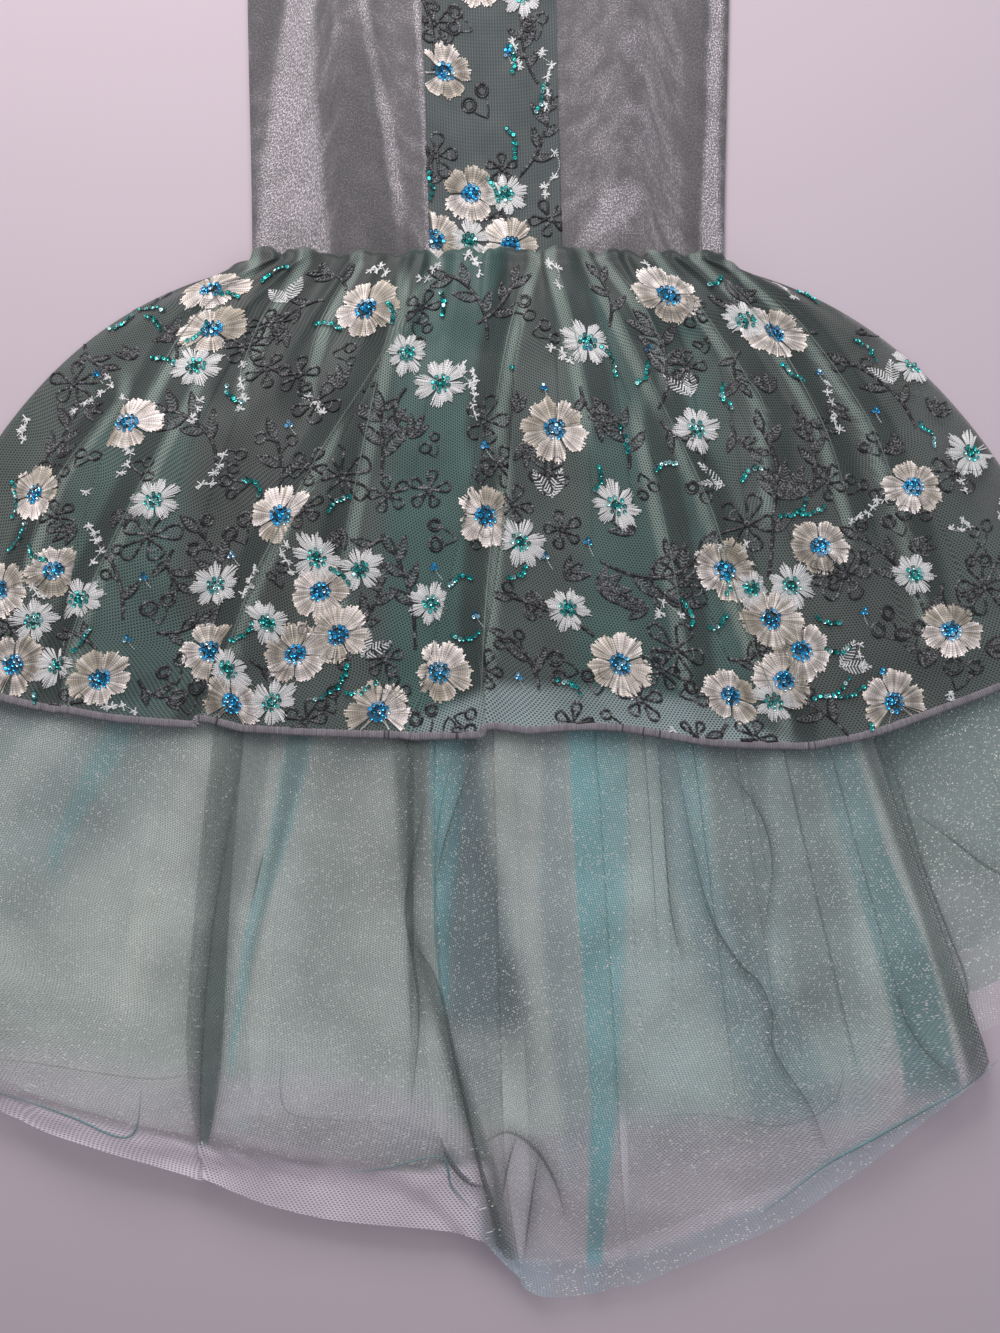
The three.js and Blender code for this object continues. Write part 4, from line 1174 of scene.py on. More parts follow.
class Embroidery:
    """The stitching on one surface."""

    def __init__(self, surface, simple=False):
        self.surface = surface
        self.simple = simple
        self.satin, self.cords, self.sequins = Stitches(), Stitches(), Stitches()

    def threads(self, place, ab, half, colour, lift):
        points, normals, outside = on_cloth(self.surface, place, ab, lift)
        keep = ~outside.any(axis=1)
        if keep.any():
            half = np.broadcast_to(half, ab.shape[:2])[keep]
            colour = np.broadcast_to(colour, (*ab.shape[:2], 3))[keep]
            self.satin.sweep(points[keep], normals[keep], half, colour, 0.45, ROOF)

    def cord(self, place, ab, half=0.9, colour=CHARCOAL, lift=0.15):
        """A corded line through points, as a smooth curve."""
        ab = np.asarray(ab, float)
        steps = np.hypot(*np.diff(ab, axis=0).T)
        t = totals(steps, 0)
        count = max(4, int(steps.sum() / CORD_STEP))
        flat = np.stack(read_table(np.column_stack([t, ab]), np.linspace(0, t[-1], count)), axis=-1)
        points, normals, outside = on_cloth(self.surface, place, flat[None], lift)
        keep = ~outside[0]
        if keep.sum() < 4:
            return
        # painted sheen: the charcoal cords take specks of mauve here and there
        shade = mix(colour, MAUVE_THREAD_AND_SHEEN if colour is CHARCOAL else colour, rng.random((1, keep.sum(), 1)) ** 4)
        self.cords.sweep(points[:, keep], normals[:, keep], half, shade, half * 0.9, ROUND)

    def sequin_spots(self, place, ab, colour, size):
        """Cup sequins of this radius, each tipped a little."""
        points, normals, outside = on_cloth(self.surface, place, ab[None], 1.25)
        keep = ~outside[0]
        points, normals = points[0][keep], normals[0][keep]
        n = len(points)
        if not n:
            return
        normals = unit(normals + rng.normal(0, 0.16, (n, 3)))
        side = unit(np.cross(normals, [0.3, 1, 0.2]))
        up = np.cross(normals, side)
        sides = 10
        angle = (np.arange(sides) * 2 * np.pi / sides)[:, None]
        ring = np.cos(angle) * side[:, None] + np.sin(angle) * up[:, None]
        points, normals = points[:, None], normals[:, None]
        verts = np.stack([points + size * radius * ring + normals * height for radius, height in CUP], axis=1)
        near = np.arange(sides)
        far = (near + 1) % sides
        band = np.stack([near, far, far + sides, near + sides], axis=1)
        loop = np.concatenate([band, band + sides])
        faces = (loop[None] + (np.arange(n) * 3 * sides)[:, None, None]).reshape(-1, 4)
        # painted glints: a quarter of the sequins are lightened towards white
        sequin_glint = (rng.random((n, 1)) < 0.25) * rng.uniform(0.3, 1, (n, 1))
        tint = mix(colour * rng.uniform(0.45, 1.7, (n, 1)), colour + 0.6, sequin_glint)
        colours = np.ones((n, 3, sides, 4))
        colours[..., :3] = tint[:, None, None, :]
        colours[:, 2, :, :3] *= 0.4
        self.sequins.add(verts, colours, np.zeros((n, 3, sides, 2)), faces)

    def slanted(self, place, start, out, reach, ahead, tints, half, lift):
        """Short stitches that slant out and ahead on both sides of a leaf's rib."""
        count = len(start)
        for way in (1, -1):
            end = start + ahead * out + way * reach[:, None] * square_to(out)
            ab = mix(start[:, None], end[:, None], np.linspace(0, 1, 3)[None, :, None])
            tint = mix(*tints, rng.uniform(0.2, 1, (count, 1, 1)))
            self.threads(place, ab, half, tint, np.full((count, 3), lift))

    # -- motifs, each about a place of the picture and turned in degrees; sizes in mm --
    def flower(self, px, py, size=1.0, kind="champagne"):
        """Five broad petals of satin stitch about blue sequins, or a white one of narrow tufts."""
        place = anchor(self.surface, px, py, rng.uniform(0, 72))
        if kind == "white":
            self.spiky(place, 13.5 * size)
            self.centre(place, TEAL, 13, 4.4 * size)
            return
        radius, petals = 18.8 * size, 5
        each = 13 if self.simple else 27
        t = np.linspace(-1, 1, each)
        s = np.linspace(0, 1, 5)
        filling = rng.uniform(0.62, 1.0)
        sheen_facing = rng.uniform(0, 2 * math.pi)
        for k in range(petals):
            middle = 2 * math.pi * k / petals + rng.normal(0, 0.06)
            # painted sheen: petals turned towards a facing drawn at random are mixed towards the lit
            # champagne, the others towards the thread's dull, unlit side
            bright = 0.45 + 0.35 * math.cos(middle - sheen_facing) + rng.normal(0, 0.16)
            angle = middle + t * math.pi / petals * 0.98
            outline = 0.72 + 0.28 * (1 - np.abs(t) ** 2.6) ** 0.6 - 0.07 * np.exp(-((t / 0.2) ** 2))
            reach = radius * outline * rng.normal(1, 0.035, each) * rng.uniform(0.92, 1.05)
            r = mix(4.4 * size, reach[:, None], s)
            turn = mix(middle + t[:, None] * 0.5, angle[:, None], smooth(s * 1.6))
            share = np.clip(bright + rng.normal(0, 0.3, (each, 1, 1)), 0, 1)
            colour = mix(CHAMPAGNE_UNLIT, CHAMPAGNE, share) * rng.uniform(0.7, 1.25, (each, 1, 1))
            colour = colour * np.array([0.95, 1.15, filling, filling * 1.15, 1.4])[None, :, None]
            lift = 0.2 + 0.35 * np.sin(np.pi * (s * 0.9 + 0.05)) + rng.uniform(0, 0.2, (each, 1))
            half = (r * math.pi / petals / each * 1.02).clip(0.25, 0.55)
            self.threads(place, polar(r, turn), half, colour, lift)
        self.centre(place, BLUE, 17, 5.2 * size)

    def spiky(self, place, radius):
        tufts, each = 8, 6 if self.simple else 14
        count = tufts * each
        t = np.tile(np.linspace(-1, 1, each), tufts)
        angle = np.repeat(np.arange(tufts) * 2 * math.pi / tufts + rng.normal(0, 0.08, tufts), each)
        long = np.repeat(rng.uniform(0.88, 1.14, tufts), each)
        reach = radius * long * (1 - 0.24 * t**2) * rng.normal(1, 0.05, count)
        s = np.linspace(0, 1, 4)
        r = mix(3.0, reach[:, None], s)
        turn = angle[:, None] + t[:, None] * mix(0.36, 0.33, s) + rng.normal(0, 0.02, (count, 1))
        shade = rng.uniform(0.3, 1.0, (count, 1, 1)) * np.array([0.3, 0.8, 1.0, 1.0])[None, :, None]
        lift = 0.3 + 0.3 * np.sin(np.pi * s)[None, :] + rng.uniform(0, 0.25, (count, 1))
        self.threads(place, polar(r, turn), mix(0.36, 0.3, s), mix(GREY_WHITE * 0.9, WHITE, shade), lift)

    def centre(self, place, colour, count, spread):
        """A cluster of sequins in two rings about one."""
        spots = [[[0.0, 0.0]]]
        inner = (count - 1) // 3
        for number, radius in ((inner, spread * 0.48), (count - 1 - inner, spread)):
            spots.append(polar(radius, np.arange(number) * 2 * math.pi / number + rng.uniform(0, 1)))
        spots = np.concatenate(spots)
        self.sequin_spots(place, spots + rng.normal(0, 0.22, spots.shape), colour, 1.3)

    def ring(self, place, x, y, radius):
        angle = np.linspace(0, 2 * math.pi * 1.03, 18)
        ab = (x, y) + polar(radius * (1 + 0.05 * np.sin(angle * 2 + x)), angle)
        self.cord(place, ab, 0.8)
        if radius > 3.4 and not self.simple:
            self.cord(place, (ab - (x, y)) * 0.62 + (x, y), 0.45)

    def leaf(self, place, x, y, toward, length, width, colour=CHARCOAL):
        """A leaf from its stalk: an outline, and slanted stitches inside it."""
        out = polar(1, toward)
        t = np.linspace(0, 1, 7)
        for way in (1, -1):
            bulge = (way * width * leaf_shape(t))[:, None] * square_to(out)
            self.cord(place, (x, y) + t[:, None] * length * out + bulge, 0.64, colour)
        t = np.linspace(0.12, 0.86, max(4, int(length / 2.3)))
        start = (x, y) + (t * length)[:, None] * out
        # painted sheen: the slanted stitches are mixed at random from the leaf's colour towards mauve
        self.slanted(place, start, out, width * leaf_shape(t) * 0.85, 1.6, (colour, MAUVE_THREAD_AND_SHEEN), 0.42, 0.25)

    def loops(self, px, py, turned=0, size=1.0, count=5):
        """A flower outline of corded loops."""
        place = anchor(self.surface, px, py, turned)
        t = np.linspace(0, 1, 13)
        for k in range(count):
            out = polar(1, 2 * math.pi * k / count)
            long, wide = 15.5 * size * rng.uniform(0.85, 1.1), 5.2 * size
            a = 2.2 + long * np.sin(math.pi * t) ** 0.75
            b = wide * np.sin(2 * math.pi * t) * 0.9
            ab = a[:, None] * out + b[:, None] * square_to(out)
            self.cord(place, ab, 0.8)
            if k % 2 == 0 and not self.simple:
                self.cord(place, ab * 0.66, 0.4, MAUVE_THREAD_AND_SHEEN * 0.8)
        self.ring(place, 0, 0, 1.8)

    def branch(self, px, py, turned=0, length=60.0, bend=0.5, leaves=4, size=1.0, ends="rings"):
        """A corded stem that bends, with leaves on both sides and rings or leaves at its end."""
        place = anchor(self.surface, px, py, turned)
        t = np.linspace(0, 1, 9)
        heading, way = bent(bend, 9)
        stem = totals(way[:-1] * length / 8, 0)
        self.cord(place, stem, 0.85)
        self.cord(place, stem + (0.9, 0.2), 0.5)
        for k in range(leaves):
            at = 0.3 + 0.6 * k / max(1, leaves - 1)
            base = np.array([np.interp(at, t, stem[:, 0]), np.interp(at, t, stem[:, 1])])
            toward = np.interp(at, t, heading) + (1 if k % 2 else -1) * rng.uniform(0.6, 0.95)
            if ends == "rings" and k >= leaves - 2:
                out = polar(1, toward)
                tip = base + 8 * size * out
                self.cord(place, [base, mix(base, tip, 0.5) + 0.4, tip], 0.6)
                self.ring(place, *(tip + 3.6 * size * out), 3.6 * size)
            else:
                self.leaf(place, *base, toward, 18 * size * rng.uniform(0.8, 1.15), 3.0 * size)
        self.leaf(place, *stem[-1], heading[-1], 15 * size, 2.8 * size)

    def spray(self, px, py, turned=0, size=1.0, count=5):
        """Leaves that fan out from one point."""
        place = anchor(self.surface, px, py, turned)
        for k in range(count):
            toward = math.pi / 2 + (k - (count - 1) / 2) * 0.5
            self.leaf(place, 0, 0, toward, size * rng.uniform(15, 22), 2.9 * size)

    def feathers(self, px, py, turned=0, size=1.0, count=2):
        """White leaves of separate slanted stitches on a thread."""
        place = anchor(self.surface, px, py, turned)
        for k in range(count):
            out = polar(1, math.pi / 2 + (k - (count - 1) / 2) * 0.95)
            length = size * rng.uniform(15, 20)
            t = np.linspace(0.1, 0.95, 9)
            self.cord(place, [(0, 0), out * length * 0.5 + square_to(out), out * length], 0.3, GREY_WHITE)
            start = (t * length)[:, None] * out
            self.slanted(place, start, out, 4.2 * size * leaf_shape(t), 2.2, (GREY_WHITE, WHITE), 0.4, 0.3)

    def rings(self, px, py, turned=0, size=1.0, count=2):
        """Corded rings side by side, each on a short stalk."""
        place = anchor(self.surface, px, py, turned)
        for k in range(count):
            x, y = (k - (count - 1) / 2) * 10.5 * size, (k % 2) * 4.0
            self.ring(place, x, y, rng.uniform(3.4, 4.6) * size)
            self.cord(place, [(x, y - 4 * size), (x * 0.5, -8 * size), (0, -11 * size)], 0.55)

    def florets(self, px, py, turned=0, length=40.0, bend=0.5, count=6):
        """Small white stars strung on a thread."""
        place = anchor(self.surface, px, py, turned)
        spots = np.cumsum(bent(bend, count)[1] * length / count, axis=0)
        spots = spots + rng.normal(0, 1.6, spots.shape)
        self.cord(place, spots, 0.28, GREY_WHITE)
        for spot in spots:
            arms = 9
            angle = rng.uniform(0, 2 * math.pi, arms)
            reach = rng.uniform(1.6, 3.6, (arms, 1, 1))
            ab = spot + np.linspace(-0.1, 1, 3)[None, :, None] * reach * polar(1, angle)[:, None]
            tint = mix(GREY_WHITE, WHITE, rng.uniform(0.2, 1, (arms, 1, 1)))
            self.threads(place, ab, 0.4, tint, rng.uniform(0.2, 0.6, (arms, 1)) + np.zeros((arms, 3)))

    def string(self, px, py, turned=0, length=20.0, bend=0.6):
        """Sequins in a row along a bent line."""
        place = anchor(self.surface, px, py, turned)
        spots = np.cumsum(bent(bend, 8)[1] * length / 8, axis=0)
        self.cord(place, spots + 0.8, 0.5)
        self.sequin_spots(place, spots + rng.normal(0, 0.5, spots.shape), TEAL, 1.35)

    def triple(self, px, py):
        """Three blue sequins on a thread."""
        place = anchor(self.surface, px, py)
        self.cord(place, [(0, 0), (1.5, -4), (4, -8)], 0.3, GREY_WHITE)
        self.sequin_spots(place, np.array([[0, 1.4], [-1.3, -0.8], [1.3, -0.8]]), BLUE, 1.15)

    def finish(self, name, slot):
        for part, stitches, material in (
            ("satin", self.satin, SATIN), ("cords", self.cords, CORD), ("sequins", self.sequins, SEQUIN),
        ):
            mesh = stitches.mesh(name + "_" + part, part != "sequins")
            new_object(name + "_" + part, mesh, material)


# ---- Where the motifs are on the front, by px x and y, then the motif's own numbers ----
CHAMPAGNE_FLOWERS = [
    (210, 291), (365, 313), (132, 428), (38, 491), (281, 517), (488, 520), (57, 571), (3, 592), (18, 665),
    (109, 681), (214, 655), (322, 596), (338, 634), (297, 657), (236, 706), (383, 713), (440, 673),
    (551, 434), (669, 299), (774, 335), (912, 484), (814, 549), (720, 572), (765, 620), (798, 649),
    (777, 679), (619, 663), (729, 698), (892, 702), (953, 628), (216, 330),
]
WHITE_FLOWERS = [
    (197, 368), (411, 358), (446, 389), (696, 434), (616, 507), (744, 324), (218, 589), (320, 562),
    (432, 605), (37, 619), (85, 600), (272, 627), (234, 670), (62, 667), (364, 574), (566, 610), (788, 588),
    (747, 591), (915, 574), (522, 545), (766, 700), (975, 450), (930, 355), (160, 500), (584, 345),
    (275, 705),
]
LOOPS = [
    (345, 480, 20), (155, 535, 0), (745, 525, 10), (685, 580, 30, 1.1), (670, 650, 0), (845, 575, 15),
    (987, 585, 40), (315, 408, 50, 0.8), (487, 425, 0, 0.8), (960, 470, 20, 0.9), (500, 470, 60, 0.7),
    (250, 350, 10, 0.7), (425, 310, 0, 0.6), (307, 720, 0, 0.7), (640, 700, 30, 0.7), (70, 380, 10, 0.8),
    (690, 745, 0, 0.5),
]
BRANCHES = [
    # px x, px y, turned, length, bend, leaves, size, ends
    (215, 625, 12, 62, 0.7, 5, 1.0), (10, 478, -35, 52, 0.6, 4, 0.9, "leaves"),
    (225, 465, 40, 48, 0.8, 5, 1.0, "leaves"),
    (280, 500, 5, 38, 0.3, 4, 0.9), (418, 650, 12, 60, 0.4, 5, 0.9, "leaves"),
    (490, 345, 35, 50, 0.9, 4, 0.9, "leaves"),
    (765, 575, 0, 92, 0.15, 3, 0.9, "leaves"), (600, 560, -70, 66, 0.8, 5, 1.1, "leaves"),
    (655, 410, 10, 52, 0.6, 6, 1.0, "leaves"),
    (925, 615, 40, 62, 0.6, 5, 1.0), (590, 640, 75, 52, 0.4, 3, 0.9), (920, 425, 45, 58, 0.5, 4, 0.9),
    (805, 500, -5, 42, 0.3, 4, 0.8, "leaves"), (820, 335, 80, 48, -0.6, 5, 0.9, "leaves"),
    (625, 470, 30, 34, 0.6, 4, 0.9, "leaves"),
    (385, 475, 0, 36, 0.2, 4, 1.1, "leaves"), (845, 735, 60, 36, 0.4, 4, 0.9),
    (180, 360, 20, 30, 0.5, 4, 0.9, "leaves"),
    (540, 690, 40, 34, 0.7, 4, 0.8), (100, 650, 60, 30, 0.4, 3, 0.8, "leaves"),
    (475, 330, -40, 34, 0.5, 3, 0.8, "leaves"),
    (340, 640, -35, 40, 0.6, 4, 0.8, "leaves"), (610, 330, 20, 32, 0.5, 3, 0.7, "leaves"),
    (130, 620, 15, 40, 0.4, 3, 0.8),
]
SPRAYS = [
    (783, 498, 0, 1.25, 5), (252, 338, 30, 0.7, 4), (320, 420, 20, 0.8, 4), (735, 300, -20, 0.9, 4),
    (385, 440, 0, 0.9, 4), (600, 590, -60, 1.0, 4), (105, 640, -60, 0.8, 4), (410, 565, 10, 0.8, 3),
    (830, 455, 60, 0.7, 3), (940, 410, -20, 0.7, 4), (60, 455, -30, 0.6, 3), (450, 300, 60, 0.7, 3),
]
RINGS = [
    (240, 532, 20), (165, 610, 0), (178, 672, 10), (193, 692, 0, 1.1), (442, 540, 70), (428, 716, 0),
    (645, 530, 10, 0.9), (556, 668, 80), (592, 676, 0), (884, 622, 40, 1.1), (912, 635, 0), (895, 520, 10),
    (964, 668, -20, 1.2), (870, 442, 30, 0.8), (285, 575, 0, 0.7), (648, 705, 50, 0.9), (435, 450, 20, 0.7),
    (482, 475, 0, 0.7), (330, 700, 20, 0.8), (700, 350, 0, 0.6), (985, 530, 0, 0.8),
]
FLORETS = [
    (125, 480, 10, 40, 0.6, 7), (60, 410, -60, 34, 0.4, 6), (90, 500, -20, 34, 0.5, 6),
    (245, 420, 0, 34, 0.4, 6), (200, 495, -30, 26, 0.5, 5), (470, 430, 10, 34, 0.6, 6),
    (845, 520, -60, 30, 0.3, 6), (835, 440, 5, 36, 0.3, 6), (95, 570, 10, 30, 0.4, 5),
    (480, 395, 30, 20, 0.3, 4), (965, 500, 0, 30, 0.4, 5), (330, 420, 40, 22, 0.3, 4),
]
STRINGS = [
    (160, 330, 20), (185, 345, -40), (170, 310, 60), (310, 700, -60, 26), (345, 695, -80, 22),
    (330, 690, -30, 18), (775, 520, -60, 22), (790, 515, -80, 20), (690, 632, 20, 18), (705, 630, -50, 18),
    (610, 385, 30, 22), (632, 392, -20, 18), (805, 700, -60, 30), (822, 692, -75, 26), (10, 520, 10, 26),
    (6, 555, -30, 22), (75, 650, -30, 20), (440, 320, 0, 16), (620, 460, 20, 18), (265, 505, 30, 18),
    (880, 360, 40, 22), (940, 450, 30, 20), (180, 365, 60, 16), (725, 600, 10, 22), (350, 590, 40, 18),
    (960, 395, 30, 18), (240, 300, 50, 14), (700, 290, -30, 14), (395, 330, 0, 14), (820, 300, 40, 18),
]
TRIPLES = [
    (295, 430), (235, 555), (153, 577), (136, 640), (437, 568), (480, 616), (543, 560), (520, 676),
    (583, 545), (585, 350), (540, 390), (649, 352), (862, 612), (882, 672), (816, 372), (877, 408),
    (92, 374), (486, 448),
]
FEATHERS = [
    (690, 400, 30), (722, 490, 70), (548, 502, 10), (365, 660, -40, 1.1), (838, 668, -60), (290, 305, 0),
    (895, 380, 30), (160, 420, 60, 0.8),
]


def is_free(taken, px, py, turned, gap, length):
    """Whether a motif that reaches this far in mm is clear of the places taken, in px; takes its own
    places if so."""
    turn = math.radians(turned)
    reach = length / PX
    own = [(px - math.sin(turn) * reach * t, py - math.cos(turn) * reach * t) for t in (0.1, 0.5, 0.9)]
    if any(math.hypot(a - x, b - y) < gap for a, b in own for x, y in taken):
        return False
    taken += own
    return True


def off_cloth(surface, px, py):
    """How far a place of the picture is from a surface, in mm."""
    x, y = plan(px, py)
    return np.hypot(surface.points[..., 0] - x, surface.points[..., 1] - y).min()


FILL_TRIES, FILL_GAP, FILL_REACH = 2500, 22, 10  # the gap and the back's gap are in px
BACK_MOTIFS, BACK_GAP = 62, 58
OFF_CLOTH = 3  # in mm


def fill_gaps(work, taken):
    """Small motifs in the places that the tables leave bare, as the cloth has them all over."""
    motifs = itertools.cycle([
        (work.rings, 0.8), (work.branch, 24, 0.7, 3, 0.7, "leaves"), (work.string, 18, 0.8),
        (work.loops, 0.62), (work.florets, 20, 0.6, 4), (work.spray, 0.75, 3),
    ])
    for _ in range(FILL_TRIES):
        px, py, turned = rng.uniform(0, 1080), rng.uniform(275, 735), rng.uniform(0, 360)
        off = off_cloth(work.surface, px, py) > OFF_CLOTH
        if not off and is_free(taken, px, py, turned, FILL_GAP, FILL_REACH):
            motif, *rest = next(motifs)
            motif(px, py, turned, *rest)


def embroider_front():
    work = Embroidery(BY_NAME["overskirt_front"])
    taken = []
    for motif, table, gap, length in (
        (work.loops, LOOPS, 16, 0), (work.branch, BRANCHES, 13, None), (work.spray, SPRAYS, 15, 12),
        (work.rings, RINGS, 14, 0),
    ):
        for row in table:
            if is_free(taken, *row[:3], gap, row[3] if length is None else length):
                motif(*row)
    stitch(work, [("feathers", FEATHERS), ("florets", FLORETS)])
    for px, py in WHITE_FLOWERS:
        work.flower(px, py, rng.uniform(0.9, 1.12), "white")
    for px, py in CHAMPAGNE_FLOWERS:
        work.flower(px, py, rng.uniform(0.92, 1.06))
    stitch(work, [("string", STRINGS), ("triple", TRIPLES)])
    for table in (CHAMPAGNE_FLOWERS, WHITE_FLOWERS, FLORETS, STRINGS, TRIPLES, FEATHERS):
        taken += [row[:2] for row in table]
    fill_gaps(work, taken)
    work.finish("overskirt_front_embroidery", "embroidered_tulle")


def stitch(work, tables):
    for motif, rows in tables:
        for row in rows:
            getattr(work, motif)(*row)


CENTRE_MOTIFS = [
    ("loops", [
        (437, 150, 10, 0.8), (500, 165, 20, 0.5), (505, -120, 20, 0.9), (450, -90, 0, 0.8),
        (432, 20, 30, 0.7), (548, 215, 40, 0.6),
    ]),
    ("branch", [
        (514, 175, -22, 50, 0.5, 5, 0.8, "leaves"), (432, 60, 10, 44, 0.4, 4, 0.8),
        (540, 75, 10, 40, -0.4, 5, 0.7, "leaves"), (430, 195, 8, 30, 0.4, 4, 0.6),
        (480, 215, -50, 24, 0.4, 3, 0.6, "leaves"), (500, -40, 0, 50, 0.4, 5, 0.9),
        (440, -150, 10, 44, 0.6, 4, 0.9), (540, -100, -10, 50, 0.6, 4, 0.8),
    ]),
    ("rings", [(478, 92, 30, 1.1), (458, 18, 60, 0.9), (535, 20, 0, 0.8), (500, -75, 0)]),
    ("florets", [
        (545, 115, 0, 44, 0.2, 7), (520, 75, 10, 24, 0.2, 4), (540, 200, -20, 30, 0.4, 5),
        (470, -40, 0, 30, 0.3, 5),
    ]),
    ("flower", [
        (468, 238, 0.9, "white"), (507, 190, 0.9, "white"), (430, 272, 0.8, "white"),
        (520, -10, 0.9, "white"), (455, -60, 0.9, "white"), (445, 65, 0.93), (468, 187, 0.93),
        (513, 240, 0.93), (436, 236, 0.93), (478, -25, 0.93), (530, -70, 0.93), (450, -130, 0.93),
        (510, -100, 0.93),
    ]),
    ("string", [
        (508, 70, 0, 18), (530, 110, -20, 20), (515, 160, 10, 22), (428, 200, 5, 24), (500, 200, 20, 16),
    ]),
    ("triple", [(506, 40), (510, 48), (470, -90)]),
]


def embroider_centre():
    work = Embroidery(CENTRE)
    stitch(work, CENTRE_MOTIFS)
    work.finish("centre_front_embroidery", "embroidered_mesh")


def embroider_back():
    """The back of the overskirt, seen from below: the same motifs, spread evenly and plainer."""
    layer = BY_NAME["overskirt_back"]
    layer.normals = -layer.normals
    work = Embroidery(layer, simple=True)
    kept = []
    while len(kept) < BACK_MOTIFS:
        px, py = rng.uniform(20, 960), rng.uniform(300, 700)
        apart = all(math.hypot(px - a, py - b) > BACK_GAP for a, b in kept)
        if off_cloth(layer, px, py) < OFF_CLOTH and apart:
            kept.append((px, py))
        elif rng.random() < 0.0005:
            break
    for k, (px, py) in enumerate(kept):
        turned = rng.uniform(0, 360)
        motif, *rest = (
            (work.loops, turned, 0.9), (work.branch, turned, 40, 0.6, 4, 0.9), (work.flower,),
            (work.flower, 1, "white"),
        )[k % 4]
        motif(px, py, *rest)
    work.finish("overskirt_back_embroidery", "embroidered_tulle")


# ---- Hems and creases ----
OVERLOCK_PROFILE = [
    (-1, -0.5), (-0.85, 0.5), (-0.4, 0.9), (0.1, 1), (0.6, 0.8), (1, 0), (0.85, -0.7), (0, -0.9),
    (-1, -0.5),
]


def make_bindings():
    """The overlocked hems: a tube along each edge, its thread now and then dark."""
    places = 900
    for name in ("overskirt_back", "overskirt_front"):
        layer = BY_NAME[name]
        fine = np.linspace(0, len(layer.u) - 1, places)
        row = np.full_like(fine, layer.points.shape[0] - 1.0)
        edge, above = sample(layer.points, row, fine), sample(layer.points, row - 1, fine)
        path = edge + unit(edge - above) * (BINDING_WIDTH / 2 - 0.2)
        if name == "overskirt_back":
            path[:, 2] = 0.75
        tone = np.array([0.3, 0.27, 0.3]) * (1 + 0.12 * rng.normal(0, 1, (1, places, 1)))
        ticks = rng.random((1, places, 1)) < 0.015
        tone = mix(tone, np.array([0.02, 0.02, 0.025]), ticks)
        half = BINDING_WIDTH / 2 + 0.15 * rng.normal(0, 1, (1, places))
        strip = Stitches()
        strip.sweep(path[None], straight_up(path[None]), half, tone, 0.6, OVERLOCK_PROFILE)
        new_object(name + "_overlock", strip.mesh(name + "_overlock"), OVERLOCK, name + "_binding")


def straight_up(paths):
    return np.broadcast_to(np.array([0.0, 0.0, 1.0]), paths.shape)


# Fine creases of the dark net, in px, with half the width in mm at each point.
CREASES = [
    [(427, 790, 0.3), (407, 897, 0.6), (415, 957, 0.8), (423, 1013, 0.4)],
    [(411, 940, 0.4), (420, 1010, 0.5), (413, 1098, 0.3)],
    [(473, 756, 0.3), (447, 833, 0.5), (437, 877, 0.3)],
    [(413, 935, 0.5), (439, 981, 0.9), (459, 1070, 1.1), (480, 1162, 1.3), (494, 1210, 2.6),
        (504, 1250, 3.6)],
    [(482, 1140, 0.4), (508, 1127, 0.8), (536, 1146, 1.0), (556, 1182, 0.8), (564, 1214, 0.4)],
    [(516, 1132, 0.4), (508, 1160, 0.7), (502, 1196, 0.4)],
    [(538, 1150, 0.5), (530, 1205, 0.7), (524, 1254, 0.6)],
    [(439, 1130, 0.4), (452, 1160, 1.6), (470, 1180, 1.4), (486, 1184, 0.5)],
    [(657, 744, 0.4), (667, 893, 0.5), (679, 957, 0.3)],
    [(671, 744, 0.4), (703, 897, 0.7), (735, 957, 0.8), (755, 977, 0.6), (769, 1009, 0.5), (771, 1046, 0.5),
        (807, 1102, 0.5), (825, 1146, 0.3)],
    [(723, 768, 0.3), (755, 808, 0.5), (769, 861, 0.5), (761, 929, 0.3)],
    [(879, 732, 0.8), (896, 780, 1.2), (920, 861, 1.0), (944, 925, 0.8), (964, 977, 0.7), (968, 1017, 0.6),
        (990, 1056, 0.4)],
    [(912, 812, 0.4), (952, 841, 0.7), (985, 866, 0.9), (1030, 890, 0.5)],
    [(246, 744, 0.6), (216, 925, 0.6), (204, 1062, 0.5), (202, 1180, 0.4)],
    [(890, 990, 0.3), (915, 1040, 0.4), (960, 1085, 0.3)],
    [(268, 846, 0.3), (262, 870, 0.6), (254, 905, 0.3)],
]
HEM_LINES = [
    [(286, 1046, 0.3), (283, 1085, 0.5), (294, 1110, 0.5), (345, 1117, 0.5), (396, 1119, 0.3)],
    [(622, 1113, 0.3), (700, 1110, 0.5), (775, 1121, 0.5), (824, 1106, 0.6), (839, 1074, 0.5),
        (834, 1050, 0.3)],
    [(-20, 1053, 0.4), (60, 1063, 0.5), (160, 1075, 0.5), (206, 1066, 0.3)],
]
TEAL_LINES = [
    [(-20, 1083, 0.5), (70, 1112, 0.7), (132, 1133, 0.7), (146, 1082, 0.3)],
    [(345, 1170, 0.3), (385, 1165, 0.5), (440, 1153, 0.6), (452, 1184, 0.7), (470, 1205, 0.4)],
    [(756, 1214, 0.4), (824, 1163, 1.0), (900, 1120, 1.1), (1002, 1062, 0.8)],
    [(455, 745, 0.3), (438, 830, 0.5), (436, 930, 0.4), (446, 1010, 0.3)],
]


CREASE_POINTS = 14  # for each point of a table
CREASE_PROFILE = [(-1, 0), (-0.4, 0.7), (0.1, 1), (0.5, 0.6), (1, 0)]


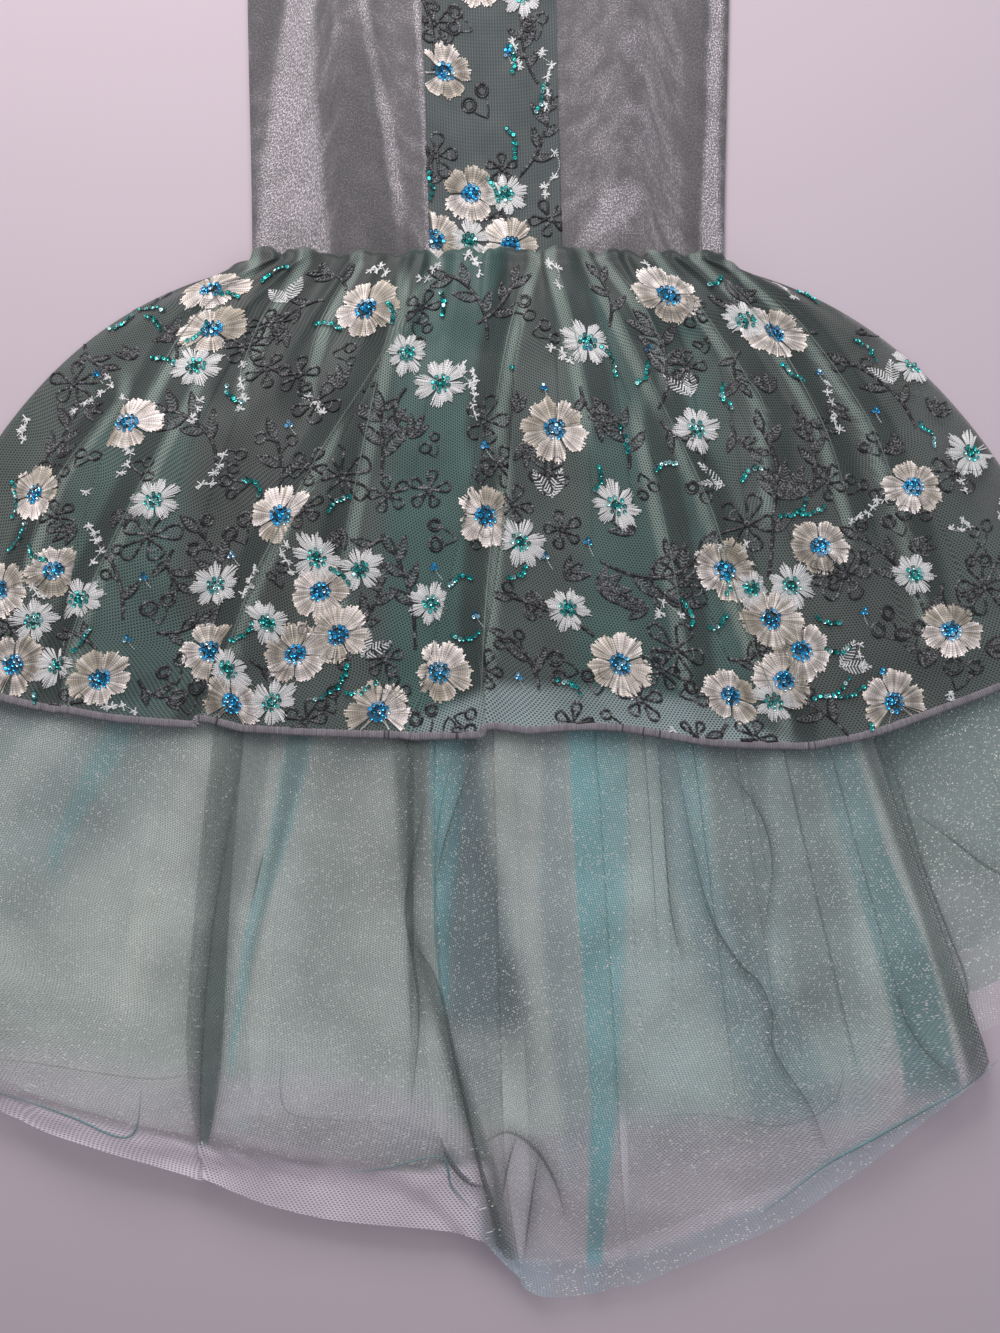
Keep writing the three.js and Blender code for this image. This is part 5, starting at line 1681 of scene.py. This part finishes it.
def make_creases():
    """Fine ridges where a net is creased along a line and shows twice, with a painted shade to one side, and
    the hems of the layers below."""
    net = BY_NAME["underskirt_front_outer_net"].points
    top = blurred(widest(PILE), 2)
    folds = []
    for _, line in FOLD_LINES:
        turns = np.linspace(0.4, 2.8, len(line))
        folds.append([(x, y, 0.5 * math.sin(turn)) for turn, (x, y) in zip(turns, line)])
    for name, lines, colour, dense, side_shade, slot in (
        ("underskirt_creases", CREASES, SMOKE, 0.36, 0.2, "outer_tulle"),
        ("underskirt_inner_hems", HEM_LINES, SMOKE * 1.4, 0.22, 0, "inner_tulle"),
        ("underskirt_middle_hems", TEAL_LINES, TURQUOISE * 0.45, 0.5, 0, "middle_tulle"),
        ("overskirt_creases", folds, FOLD_LIGHT * 1.3, 0.45, 0, "embroidered_tulle"),
    ):
        strips = Stitches()
        on_net = slot != "embroidered_tulle"
        for number, line in enumerate(lines):
            rows = np.array([(k, *plan(px, py), half) for k, (px, py, half) in enumerate(line)])
            x, y, half = read_table(rows, np.linspace(0, len(line) - 1, CREASE_POINTS * len(line)))
            z = sample(top, *cell_of(x, y)) + 0.2
            if on_net:
                spots = [np.argmin(np.hypot(net[..., 0] - a, net[..., 1] - b)) for a, b in zip(x, y)]
                z = blur_line(net[..., 2].ravel()[spots]) + 0.4
            path = np.stack([x, y, z], axis=-1)[None]
            taper = np.sin(math.pi * np.linspace(0.04, 0.97, len(x)))[:, None] ** 0.6
            side = 1 if number % 2 else -1
            # painted shade: a soft dark band to one side of the crease, fading out away from it
            side_shade_profile = [(0, 0.1), (0.25 * side, 0.15), (0.6 * side, 0.15), (side, 0.05)]
            for profile, alphas, wide in (
                (CREASE_PROFILE, np.full(5, dense), np.abs(half)),
                (side_shade_profile, side_shade * np.array([1, 0.7, 0.3, 0]), 5 + 3 * np.abs(half)),
            ):
                if alphas[0] > 0:
                    strips.sweep(path, straight_up(path), wide[None], colour, 0.8, profile)
                    strips.colours[-1][:, 3] = (taper * alphas).ravel()
        new_object(name, strips.mesh(name), DARK_NET if on_net else OVERNET)


def blur_line(values):
    for _ in range(6):
        padded = np.pad(values, 1, mode="edge")
        values = (padded[:-2] + padded[1:-1] + padded[2:]) / 3
    return values


make_layers()
make_bodice()
make_bindings()
make_creases()
embroider_front()
embroider_centre()
embroider_back()

# ---- The camera, the floor and the light ----
VIEW_PX = (500.0, 666.5)
VIEW_HEIGHT = 1333 * PX / 1000  # in metres
CAMERA_HEIGHT = 1.2
SENSOR = 36


def make_camera():
    data = bpy.data.cameras.new("camera")
    data.sensor_width = SENSOR
    data.lens = SENSOR * CAMERA_HEIGHT / VIEW_HEIGHT
    camera = bpy.data.objects.new("camera", data)
    x, y = plan(*VIEW_PX)
    camera.location = (x / 1000 + ORIGIN_X, y / 1000 + ORIGIN_Y, CAMERA_HEIGHT + 0.015)
    bpy.context.scene.collection.objects.link(camera)
    bpy.context.scene.camera = camera


def make_light(name, place, size, power, colour):
    data = bpy.data.lights.new(name, "AREA")
    data.size = size
    data.energy = power
    data.color = colour
    light = bpy.data.objects.new(name, data)
    light.location = place
    light.rotation_euler = (-Vector(place)).to_track_quat("-Z", "Y").to_euler()
    bpy.context.scene.collection.objects.link(light)


FLOOR_HALF = 3.0


def make_floor():
    mesh = bpy.data.meshes.new("floor")
    corners = [(x * FLOOR_HALF, y * FLOOR_HALF, 0) for x, y in ((-1, -1), (1, -1), (1, 1), (-1, 1))]
    mesh.from_pydata(corners, [], [(0, 1, 2, 3)])
    mesh.materials.append(Shading("floor", Roughness=0.9, Base_Color=(0.66, 0.57, 0.62, 1)).material)
    floor = bpy.data.objects.new("floor", mesh)
    floor.location.z = -0.0005
    bpy.context.scene.collection.objects.link(floor)


def make_world():
    world = bpy.data.worlds.new("room")
    world.use_nodes = True
    background = world.node_tree.nodes["Background"]
    background.inputs["Color"].default_value = (0.9, 0.9, 1.0, 1)
    background.inputs["Strength"].default_value = 0.27
    bpy.context.scene.world = world


make_camera()
make_floor()
make_world()
make_light("key", (-0.3, 1.0, 0.85), 0.8, 14.5, (1.0, 0.94, 0.94))
make_light("fill", (0.7, 0.4, 1.2), 1.2, 4, (0.9, 0.95, 1.0))
bpy.context.scene.cycles.transparent_max_bounces = 32
bpy.context.scene.view_settings.view_transform = "Standard"
